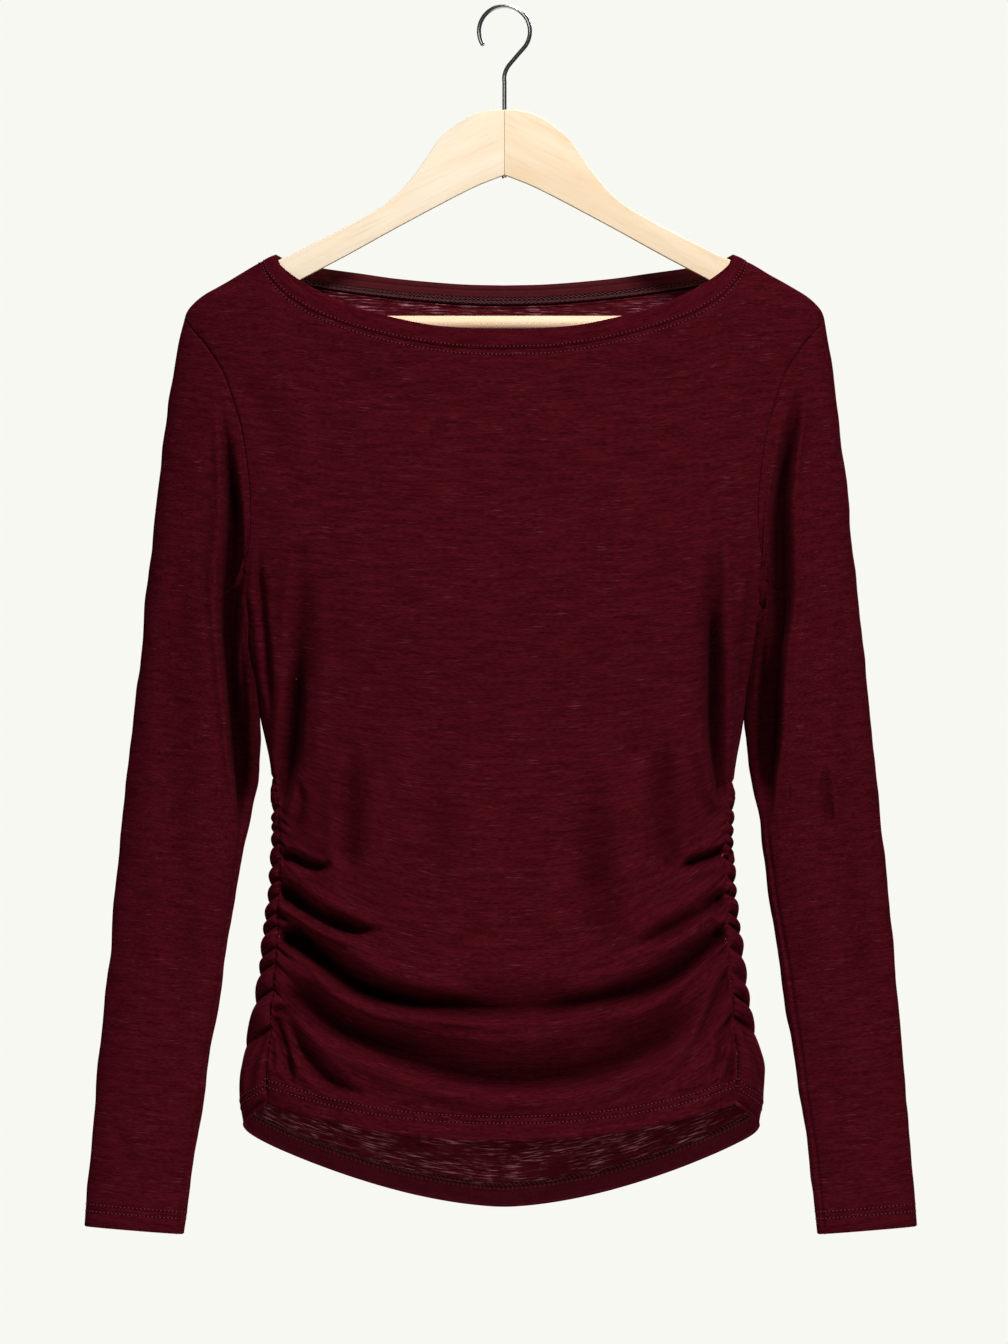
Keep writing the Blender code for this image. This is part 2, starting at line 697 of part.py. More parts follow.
def add_wall(name, grid, normals, thickness, ring, finish):
    """A closed cloth wall: the grid is its outer face, and its inner face lies behind."""
    rows = len(grid)
    columns = len(grid[0])
    points = [point for row in grid for point in row]
    for row, row_normals in zip(grid, normals):
        points += [point - normal * thickness for point, normal in zip(row, row_normals)]
    inner = rows * columns

    def quad(a, b, c, d):
        return [(a, b, c), (a, c, d)]

    faces = []
    runs = columns if ring else columns - 1
    for j in range(rows - 1):
        for i in range(runs):
            k = (i + 1) % columns
            a, b = j * columns + i, j * columns + k
            c, d = (j + 1) * columns + k, (j + 1) * columns + i
            if (points[a] - points[c]).length > (points[b] - points[d]).length:
                a, b, c, d = b, c, d, a
            faces += quad(a, b, c, d)
            faces += [tuple(inner + v for v in reversed(face)) for face in quad(a, b, c, d)]
    for i in range(runs):
        k = (i + 1) % columns
        top = (rows - 1) * columns
        faces += quad(i, inner + i, inner + k, k)
        faces += quad(top + i, top + k, inner + top + k, inner + top + i)
    if not ring:
        for j in range(rows - 1):
            low, high = j * columns, (j + 1) * columns
            end = columns - 1
            faces += quad(high, inner + high, inner + low, low)
            faces += quad(inner + high + end, high + end, low + end, inner + low + end)
    return add_object(name, points, faces, finish)


# ---------------------------------------------------------------- garment pieces

def sleeve_ends(side, share):
    """Outer and inner edge of a sleeve's ring, at a share of its length."""
    name = "left" if side == LEFT else "right"
    outer_down = SHOULDER_POINT + (CUFF_OUTER_DOWN - SHOULDER_POINT) * share
    inner_down = UNDERARM + (CUFF_INNER_DOWN - UNDERARM) * share
    outer = table_value(ARMS, name + "_outer", outer_down)
    inner = table_value(ARMS, name + "_inner", inner_down)
    return (Vector((side * outer, 0.0, -outer_down)), Vector((side * inner, 0.0, -inner_down)))


def sleeve_ellipse(side, share, turn):
    outer, inner = sleeve_ends(side, share)
    column = "front" if turn <= 180 else "back"
    depth = table_value(ARM_DEPTHS, column, share)
    cosine = math.cos(math.radians(turn))
    sine = math.sin(math.radians(turn))
    point = (outer + inner) / 2 + (outer - inner) / 2 * cosine
    point.y = -depth * math.copysign(abs(sine) ** SLEEVE_ROUNDNESS, sine)
    return point


def sleeve_grid(side, armhole, folds):
    """Rings of a sleeve from cuff to armhole. The armhole loop runs over the front first."""
    half = armhole_turns()[::-1]
    turns = half + [360.0 - turn for turn in half[-2:0:-1]]
    shift = Vector((side * SEAM_GAP, 0.0, 0.0))
    rings = []
    for k in range(SLEEVE_RINGS, -1, -1):
        share = k / SLEEVE_RINGS
        ring = []
        for turn, seam in zip(turns, armhole):
            under = max(0.0, -math.cos(math.radians(turn)))
            hold = max(0.0, 1 - share / SLEEVE_BLEND) ** (SLEEVE_RELEASE + UNDERARM_RELEASE * under ** 2)
            carried = seam + shift - sleeve_ellipse(side, 0.0, turn)
            ring.append(sleeve_ellipse(side, share, turn) + carried * hold)
        rings.append(ring if side == LEFT else [ring[0]] + ring[:0:-1])
    normals = grid_normals(rings, ring=True)
    moved = []
    for k, (ring, ring_normals) in enumerate(zip(rings, normals)):
        share = 1 - k / SLEEVE_RINGS
        moved_ring = []
        for i, (point, normal) in enumerate(zip(ring, ring_normals)):
            turn = turns[i] if side == LEFT else turns[-i]
            moved_ring.append(point - normal * sleeve_fold_depth(folds, share, turn))
        moved.append(moved_ring)
    return moved


def underarm_row(grid):
    return len(grid) - len(armhole_turns())


def armhole_loop(front, back, side):
    """The armhole seam's points: shoulder, front, underarm, back."""
    column = 0 if side == LEFT else -1
    under = underarm_row(front)
    down_front = [front[j][column] for j in range(len(front) - 1, under - 1, -1)]
    up_back = [back[j][column] for j in range(under + 1, len(back) - 1)]
    return down_front + up_back


def band_grid(front_top, back_top):
    """The neckband's rows: seam, middle and free edge, as one ring round the neck."""
    count = HALF_COLUMNS - SHOULDER_COLUMNS
    seam = front_top[SHOULDER_COLUMNS:-SHOULDER_COLUMNS]
    seam += back_top[-SHOULDER_COLUMNS - 2:SHOULDER_COLUMNS:-1]
    edges = []
    for rows, front in ((FRONT_NECK_EDGE, True), (BACK_NECK_EDGE, False)):
        left = neck_line(rows, LEFT, front, count)
        right = neck_line(rows, RIGHT, front, count)
        edges.append(left + right[-2::-1])
    edge = edges[0] + edges[1][-2:0:-1]
    middle = []
    for low, high in zip(seam, edge):
        point = (low + high) / 2
        middle.append(point)
    return [seam, middle, edge]


def garment(cloth, band_cloth):
    front = base_grid(True)
    back = base_grid(False)
    front_normals, back_normals = panel_normals(front, back)
    front = folded_grid(front, front_normals, True)
    back = folded_grid(back, back_normals, False)
    front_normals, back_normals = panel_normals(front, back)
    under = underarm_row(front)

    band = band_grid(list(front[-1]), list(back[-1]))
    band_normals = grid_normals(band, ring=True)
    join_band_normals(front_normals, back_normals, band_normals)

    for side, name, folds in ((LEFT, "sleeve_left", LEFT_SLEEVE_FOLDS),
                              (RIGHT, "sleeve_right", RIGHT_SLEEVE_FOLDS)):
        loop = armhole_loop(front, back, side)
        rings = sleeve_grid(side, loop, folds)
        normals = grid_normals(rings, ring=True)
        join_sleeve_normals(front_normals, back_normals, normals, side, under)
        add_wall(name, rings, normals, PANEL_THICKNESS, True, cloth)

    front_walls = pull_back_edges(front, under)
    back_walls = pull_back_edges(back, under)
    add_wall("front_panel", front_walls, front_normals, PANEL_THICKNESS, False, cloth)
    flipped = [row[::-1] for row in back_walls]
    flipped_normals = [row[::-1] for row in back_normals]
    add_wall("back_panel", flipped, flipped_normals, PANEL_THICKNESS, False, cloth)
    band[0] = [pull_back(a, b, SEAM_GAP / 2) for a, b in zip(band[0], band[1])]
    add_wall("neckband", band, band_normals, BAND_THICKNESS, True, band_cloth)


def join_band_normals(front_normals, back_normals, band_normals):
    """Give the neck seam one normal on the panels and on the band."""
    across = 2 * (HALF_COLUMNS - SHOULDER_COLUMNS)
    for i in range(across + 1):
        k = i + SHOULDER_COLUMNS
        both = blend_normals(front_normals[-1][k], band_normals[0][i])
        front_normals[-1][k], band_normals[0][i] = both
    for i in range(1, across):
        k = -SHOULDER_COLUMNS - 1 - i
        both = blend_normals(back_normals[-1][k], band_normals[0][across + i])
        back_normals[-1][k], band_normals[0][across + i] = both


def join_sleeve_normals(front_normals, back_normals, sleeve_normals, side, under):
    """Give the armhole seam one normal on the panels and on the sleeve."""
    column = 0 if side == LEFT else -1
    count = len(sleeve_normals[-1])
    rows = len(armhole_turns()) - 1
    for i in range(count):
        m = i if side == LEFT else (count - i) % count
        if m <= rows:
            panel, j = front_normals, under + rows - m
        else:
            panel, j = back_normals, under + m - rows
        both = blend_normals(panel[j][column], sleeve_normals[-1][i])
        panel[j][column], sleeve_normals[-1][i] = both
        if m == 0:
            back_normals[j][column] = both[0]


def pull_back_edges(grid, under):
    """A copy of a panel's grid with its seam edges moved in by half the seam gap."""
    moved = [list(row) for row in grid]
    for j in range(under + 1):
        moved[j][0] = pull_back(grid[j][0], grid[j][1], SEAM_GAP / 2)
        moved[j][-1] = pull_back(grid[j][-1], grid[j][-2], SEAM_GAP / 2)
    for i in range(len(grid[0])):
        moved[-1][i] = pull_back(grid[-1][i], grid[-2][i], SEAM_GAP / 2)
    return moved


# ---------------------------------------------------------------- hanger

def wood_outline():
    """Outline of the right half as (across, down), round from the joint's top."""
    ridge_drop = PANEL_THICKNESS + CLOTH_TO_WOOD
    top = [Vector((row.across, row.down, 0.0)) for row in WOOD_TOP]
    for down in shoulder_levels()[:0:-1]:
        top.append(Vector((half_width(RIGHT, down) - WOOD_BACK_FROM_SIDE, down + ridge_drop, 0.0)))
    top.append(Vector((TIP_ACROSS, TIP_DOWN, 0.0)))
    upper = smooth_path(top)
    upper = points_along(upper, [k / WOOD_TOP_POINTS for k in range(WOOD_TOP_POINTS + 1)])
    lower = smooth_path([(row.across, row.down, 0.0) for row in WOOD_BOTTOM])
    lower = points_along(lower, [k / WOOD_BOTTOM_POINTS for k in range(WOOD_BOTTOM_POINTS + 1)])
    boss = [Vector((BOSS_OUTER + 7.0, BOSS_BOTTOM - 3.0, 0.0)),
            Vector((BOSS_OUTER, BOSS_BOTTOM, 0.0)),
            Vector((BOSS_INNER + 2.0, BOSS_BOTTOM, 0.0)),
            Vector((BOSS_INNER, BOSS_BOTTOM - 2.0, 0.0)),
            Vector((BOSS_INNER, WOOD_BOTTOM[-1].down + 1.2, 0.0))]
    return upper + boss + lower[::-1]


def add_wood(name, side, finish):
    outline = wood_outline()
    outline[0].x = outline[-1].x = WOOD_JOINT_GAP / 2
    half = WOOD_THICKNESS / 2
    count = len(outline)
    points = [Vector((side * p.x, -half, -p.y)) for p in outline]
    points += [Vector((side * p.x, half, -p.y)) for p in outline]
    faces = [tuple(range(count)), tuple(range(2 * count - 1, count - 1, -1))]
    for i in range(count):
        k = (i + 1) % count
        faces.append((k, i, count + i, count + k))
    if side == RIGHT:
        faces = [tuple(reversed(face)) for face in faces]
    mesh = bpy.data.meshes.new(name)
    mesh.from_pydata([point * MM for point in points], [], faces)
    form = bmesh.new()
    form.from_mesh(mesh)
    bmesh.ops.recalc_face_normals(form, faces=form.faces)
    form.edges.ensure_lookup_table()
    weights = form.edges.layers.float.new("bevel_weight_edge")
    for edge in form.edges:
        low, high = sorted(vertex.index for vertex in edge.verts)
        on_joint = low % count == 0 and high % count == count - 1
        if (low < count) == (high < count) and not on_joint:
            edge[weights] = 1.0
    form.to_mesh(mesh)
    form.free()
    mesh.materials.append(finish)
    mesh.shade_smooth()
    mesh.set_sharp_from_angle(angle=math.radians(SHARP_ANGLE))
    made = bpy.data.objects.new(name, mesh)
    bpy.context.scene.collection.objects.link(made)
    rounding = made.modifiers.new("Rounded edges", "BEVEL")
    rounding.width = WOOD_ROUNDING * MM
    rounding.segments = 2
    rounding.limit_method = "WEIGHT"
    return made


def add_turned(name, stations, axis, centre, sides, finish):
    """A round piece through (along, radius) stations, on the X or the Z axis."""
    points = []
    for along, radius in stations:
        for i in range(sides):
            turn = 2 * math.pi * i / sides
            a, b = radius * math.cos(turn), radius * math.sin(turn)
            offset = Vector((along, a, b)) if axis == "X" else Vector((a, b, along))
            points.append(centre + offset)
    faces = [tuple(range(sides - 1, -1, -1))]
    for j in range(len(stations) - 1):
        for i in range(sides):
            k = (i + 1) % sides
            faces.append((j * sides + i, j * sides + k, (j + 1) * sides + k, (j + 1) * sides + i))
    last = (len(stations) - 1) * sides
    faces.append(tuple(last + i for i in range(sides)))
    return add_object(name, points, faces, finish)


def drill(target, name, stations, axis, centre, finish):
    """Cut a round hole in a piece."""
    cutter = add_turned(name, stations, axis, centre, BORE_SIDES, finish)
    cutter.hide_render = True
    cutter.display_type = "WIRE"
    cut = target.modifiers.new(name, "BOOLEAN")
    cut.operation = "DIFFERENCE"
    cut.solver = "EXACT"
    cut.object = cutter


def hook_path():
    """The wire's centre line, from below the crown, round the hook, to its end."""
    centre_down = HOOK_RADIUS - WIRE_RADIUS
    path = [Vector((0.0, 0.0, -113.0)), Vector((0.0, 0.0, -90.0)), Vector((0.0, 0.0, -68.0))]
    bend = smooth_path([(0.0, 0.0, -50.0), (0.0, 0.0, -45.0), (2.1, 0.0, -39.5),
                        (7.2, 0.0, -33.2), (13.58, 0.0, -25.83)], steps=3)
    arc = []
    for k in range(1, HOOK_RUNS + 1):
        turn = math.radians(HOOK_START_ANGLE + (HOOK_END_ANGLE - HOOK_START_ANGLE) * k / HOOK_RUNS)
        arc.append(Vector((HOOK_RADIUS * math.cos(turn), 0.0,
                           HOOK_RADIUS * math.sin(turn) - centre_down)))
    return path + bend + arc


def add_hook(finish):
    path = hook_path()
    sides = WIRE_SIDES
    points = []
    for i, point in enumerate(path):
        before = path[max(i - 1, 0)]
        after = path[min(i + 1, len(path) - 1)]
        along = (after - before).normalized()
        sideways = along.cross(Vector((0.0, 1.0, 0.0))).normalized()
        radius = WIRE_RADIUS * (WIRE_END if i in (0, len(path) - 1) else 1.0)
        for k in range(sides):
            turn = 2 * math.pi * k / sides
            points.append(point + sideways * radius * math.cos(turn)
                          + Vector((0.0, radius * math.sin(turn), 0.0)))
    faces = [tuple(range(sides))]
    for j in range(len(path) - 1):
        for i in range(sides):
            k = (i + 1) % sides
            faces.append((j * sides + k, j * sides + i, (j + 1) * sides + i, (j + 1) * sides + k))
    last = (len(path) - 1) * sides
    faces.append(tuple(last + i for i in range(sides - 1, -1, -1)))
    return add_object("hanger_hook", points, faces, finish)


def hanger():
    birch = material("pale_wood", (0.86, 0.70, 0.48), 0.5)
    birch_right = material("pale_wood_right", (0.88, 0.69, 0.45), 0.5)
    steel = material("steel_wire", (0.62, 0.62, 0.63), 0.28, 1.0)
    wire_bore = WIRE_RADIUS + WIRE_CLEARANCE
    tenon_bore = BAR_TENON_RADIUS + BAR_TENON_CLEARANCE
    for name, side, finish in (("hanger_arm_left", LEFT, birch),
                               ("hanger_arm_right", RIGHT, birch_right)):
        arm = add_wood(name, side, finish)
        drill(arm, name + "_wire_bore", ((-120.0, wire_bore), (-60.0, wire_bore)), "Z",
              Vector((0.0, 0.0, 0.0)), steel)
        inner = side * (BOSS_INNER - 4.0)
        outer = side * (BOSS_INNER + BAR_TENON_LENGTH)
        stations = sorted(((inner, tenon_bore), (outer, tenon_bore)))
        drill(arm, name + "_tenon_bore", stations, "X", Vector((0.0, 0.0, -BAR_DOWN)), birch)
    end = BAR_HALF_LENGTH + BAR_TENON_LENGTH
    half = ((end, BAR_TENON_RADIUS), (BAR_HALF_LENGTH + 0.2, BAR_TENON_RADIUS),
            (BAR_HALF_LENGTH, BAR_RADIUS))
    stations = [(-along, radius) for along, radius in half] + list(half[::-1])
    add_turned("hanger_bar", stations, "X", Vector((0.0, 0.0, -BAR_DOWN)), BAR_SIDES, birch)
    add_hook(steel)


def main():
    for old in list(bpy.data.objects):
        bpy.data.objects.remove(old, do_unlink=True)
    jersey = material("slub_jersey", (0.055, 0.006, 0.010), 0.85)
    band_jersey = material("neckband_jersey", (0.060, 0.007, 0.011), 0.85)
    garment(jersey, band_jersey)
    hanger()


main()
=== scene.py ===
"""Looks of a boat neck top with gathered side seams, on a wooden hanger.

The cloth pieces are thin walls on the skin that the solids follow: sections give a half
width to the left and right, a front depth and a back depth at each height. Gathers and
listed creases push that skin in or out. Left and right are as seen from the front,
"down" is the distance below the hook's inner top, and sizes are millimetres until a mesh
is made in metres.
"""
import math
from collections import namedtuple
from functools import partial

import bmesh
import bpy
import numpy as np
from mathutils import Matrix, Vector, noise


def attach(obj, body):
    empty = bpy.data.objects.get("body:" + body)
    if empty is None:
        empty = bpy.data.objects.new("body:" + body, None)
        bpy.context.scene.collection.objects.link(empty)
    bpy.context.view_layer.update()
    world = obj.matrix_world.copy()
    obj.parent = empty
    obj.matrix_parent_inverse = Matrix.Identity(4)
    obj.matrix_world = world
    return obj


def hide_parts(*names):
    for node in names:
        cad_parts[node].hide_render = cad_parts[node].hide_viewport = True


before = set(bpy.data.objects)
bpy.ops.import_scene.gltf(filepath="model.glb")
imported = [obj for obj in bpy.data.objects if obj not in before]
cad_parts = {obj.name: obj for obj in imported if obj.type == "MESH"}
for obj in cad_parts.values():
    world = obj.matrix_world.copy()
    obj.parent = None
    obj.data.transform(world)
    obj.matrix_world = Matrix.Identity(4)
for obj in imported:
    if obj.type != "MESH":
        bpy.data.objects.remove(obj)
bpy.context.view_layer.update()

MM = 0.001
LEFT = -1
RIGHT = 1

# ---------------------------------------------------------------- sizes of the skin

PLAN_POWER = 2.4
NECK_POINT = 169.3
SHOULDER_POINT = 207.0
UNDERARM = 392.7
HEM_AT_SEAM = 728.0
FRONT_HANG_POWER = 2.2
BACK_HANG_POWER = 1.7

CLOTH = 1.1               # thickness of the jersey
FOLDED_CLOTH = 1.5        # of the band, and of the folded hems at their edge

HALF_COLUMNS = 76
SHOULDER_COLUMNS = 20
COLUMN_CROWDING = 1.2
NECK_CROWDING = 1.25
ARMHOLE_STEP = 3.0        # degrees of the armhole loop between rows
WAIST_ROWS = 42
ROW_HEIGHT = 1.2
SLEEVE_RINGS = 240
SLEEVE_CROWDING = 1.25
BAND_ROWS = 8
LIP = 0.22                # a crease's raised lips, as a share of its depth
LIP_PLACE = 1.9           # in widths of the crease
LIP_WIDTH = 0.8
CREASE_REACH = 3.5        # past this many widths a crease does nothing
# Painted shade: the cloth's colour is drawn darker in folds, in the gathers' notches and on the
# sleeves beside the body
FULL_PAINTED_SHADE = 13.0         # depth of fold at which the painted fold shade is darkest
FOLD_PAINTED_SHADE = 0.84
PAINTED_SHADE_POWER = 1.35
GATHER_PAINTED_SHADE = 0.33       # painted shade for each millimetre between the gathers' lobes
GATHER_DEPTH = 2.0
FRONT_ROOM = 1.1          # how far a fold may go in, for each half of the thickness there
BACK_ROOM = 0.6
SIDEWAYS = 0.2            # how much of a fold's depth may go across, and not back
LENGTHWAYS = 0.3          # and along a sleeve
PUFF_PITCH = 4.9          # of the fine creases across the side seams
PUFF_RISE = 2.6
PUFF_REACH = 7.0
PUFF_START = 500.0        # they grow from here over the next height, and fade out before the end
PUFF_GROWTH = 25.0
PUFF_END = 712.0
PUFF_FADING = 30.0
SEAM_HOLD = 7.0           # folds flatten out over this distance from the side seams
EDGE_CALM = 25.0          # and unevenness from all edges but the hem
PANEL_DRIFTS = ((46.0, 1.6, 3.0, 11.0), (17.0, 0.5, 21.0, 31.0))   # size, height, both seeds
SLEEVE_DRIFTS = ((38.0, 1.5, 5.0), (15.0, 0.5, 15.0))              # size, height, seed
FRONT_LOBE = (4.5, 1.1)   # where a gather's lobe stands out most, from the seam, and its strength
BACK_LOBE = (8.5, 2.3)

Width = namedtuple("Width", "down left right")
WIDTHS = (
    Width(160.0, 145.0, 145.0),
    Width(164.3, 152.3, 152.3),
    Width(169.3, 162.3, 162.3),
    Width(177.0, 175.5, 175.5),
    Width(184.7, 189.0, 189.0),
    Width(192.0, 201.5, 201.5),
    Width(200.0, 210.0, 210.0),
    Width(207.0, 213.2, 213.2),
    Width(220.0, 214.8, 214.8),
    Width(262.0, 215.0, 215.0),
    Width(300.0, 213.0, 213.0),
    Width(328.0, 209.0, 209.0),
    Width(354.7, 203.0, 203.0),
    Width(368.0, 197.0, 197.0),
    Width(378.0, 191.0, 191.0),
    Width(388.0, 185.6, 185.6),
    Width(392.7, 183.7, 183.7),
    Width(408.0, 178.0, 177.3),
    Width(424.7, 173.0, 171.0),
    Width(454.7, 165.5, 162.5),
    Width(474.7, 162.5, 159.5),
    Width(488.0, 159.5, 157.3),
    Width(501.3, 156.8, 154.8),
    Width(514.7, 155.3, 153.0),
    Width(535.0, 154.4, 152.6),
    Width(560.0, 154.2, 152.0),
    Width(580.0, 155.4, 153.0),
    Width(600.0, 157.4, 154.6),
    Width(620.0, 160.0, 157.4),
    Width(640.0, 162.8, 160.2),
    Width(660.0, 166.0, 163.0),
    Width(680.0, 169.4, 166.6),
    Width(700.0, 173.4, 170.6),
    Width(728.0, 175.6, 171.6),
    Width(740.0, 174.4, 170.0),
    Width(800.0, 170.0, 166.0),
)

Depth = namedtuple("Depth", "down front back")
DEPTHS = (
    Depth(160.0, 24.0, 23.0),
    Depth(185.0, 28.0, 25.0),
    Depth(215.0, 34.0, 28.0),
    Depth(300.0, 46.0, 35.0),
    Depth(393.0, 54.0, 41.0),
    Depth(480.0, 50.0, 38.0),
    Depth(560.0, 52.0, 40.0),
    Depth(650.0, 55.0, 43.0),
    Depth(728.0, 53.0, 45.0),
    Depth(800.0, 51.0, 46.0),
)

Inset = namedtuple("Inset", "down inset")
SEAM_INSETS = (
    Inset(392.7, 0.0),
    Inset(440.0, 0.0),
    Inset(500.0, 0.9),
    Inset(531.0, 3.6),
    Inset(595.0, 6.5),
    Inset(621.0, 9.0),
    Inset(661.0, 11.5),
    Inset(701.0, 16.0),
    Inset(728.0, 17.5),
)

Armhole = namedtuple("Armhole", "down front back")
ARMHOLE = (
    Armhole(207.0, 213.2, 213.2),
    Armhole(214.0, 208.5, 210.0),
    Armhole(224.7, 199.7, 204.0),
    Armhole(241.3, 188.5, 195.5),
    Armhole(258.0, 182.0, 189.5),
    Armhole(281.3, 175.0, 183.0),
    Armhole(304.7, 171.3, 178.5),
    Armhole(328.0, 169.0, 176.0),
    Armhole(354.7, 169.7, 176.0),
    Armhole(368.0, 172.0, 177.5),
    Armhole(378.0, 175.5, 179.5),
    Armhole(388.0, 181.0, 182.3),
    Armhole(392.7, 183.7, 183.7),
)

Neck = namedtuple("Neck", "across down")
FRONT_NECK_SEAM = (
    Neck(162.3, 169.3), Neck(157.7, 178.7), Neck(149.7, 188.0), Neck(138.3, 197.0),
    Neck(116.3, 208.0), Neck(77.7, 219.6), Neck(36.3, 226.8), Neck(0.0, 228.4),
)
FRONT_NECK_EDGE = (
    Neck(152.3, 164.3), Neck(149.5, 171.8), Neck(136.0, 182.4), Neck(116.3, 193.2),
    Neck(96.3, 201.5), Neck(57.0, 211.0), Neck(30.0, 214.1), Neck(0.0, 215.0),
)
BACK_NECK_SEAM = (
    Neck(162.3, 169.3), Neck(156.0, 177.5), Neck(140.0, 184.0), Neck(110.0, 189.0),
    Neck(70.0, 194.2), Neck(30.0, 197.6), Neck(0.0, 198.4),
)
BACK_NECK_EDGE = (
    Neck(152.3, 164.3), Neck(145.0, 167.8), Neck(126.0, 172.6), Neck(96.3, 176.9),
    Neck(69.7, 180.6), Neck(30.0, 184.0), Neck(0.0, 184.8),
)

Hang = namedtuple("Hang", "seam front back")
HANGS = (
    Hang(392.7, 404.0, 398.0),
    Hang(450.0, 474.0, 462.0),
    Hang(515.0, 560.0, 541.0),
    Hang(568.0, 620.0, 606.0),
    Hang(618.0, 669.0, 664.0),
    Hang(635.0, 692.0, 686.0),
    Hang(652.7, 713.0, 708.0),
    Hang(679.3, 732.5, 738.0),
    Hang(700.0, 742.0, 764.0),
    Hang(728.0, 752.7, 800.0),
)

# Gathers along the side seams: where each starts, and how far it stands out
Gather = namedtuple("Gather", "left right rise")
GATHERS = (
    Gather(512.0, 514.7, 1.2),
    Gather(533.3, 532.0, 1.2),
    Gather(539.3, 541.3, 1.1),
    Gather(545.3, 548.7, 1.3),
    Gather(554.7, 556.0, 1.7),
    Gather(568.0, 566.0, 2.1),
    Gather(579.3, 578.0, 2.0),
    Gather(590.7, 588.0, 2.4),
    Gather(602.0, 601.3, 2.0),
    Gather(610.7, 609.3, 2.6),
    Gather(625.3, 624.0, 2.5),
    Gather(635.3, 641.3, 2.8),
    Gather(652.7, 656.0, 3.4),
    Gather(679.3, 670.7, 3.8),
)

# ---------------------------------------------------------------- creases of the body

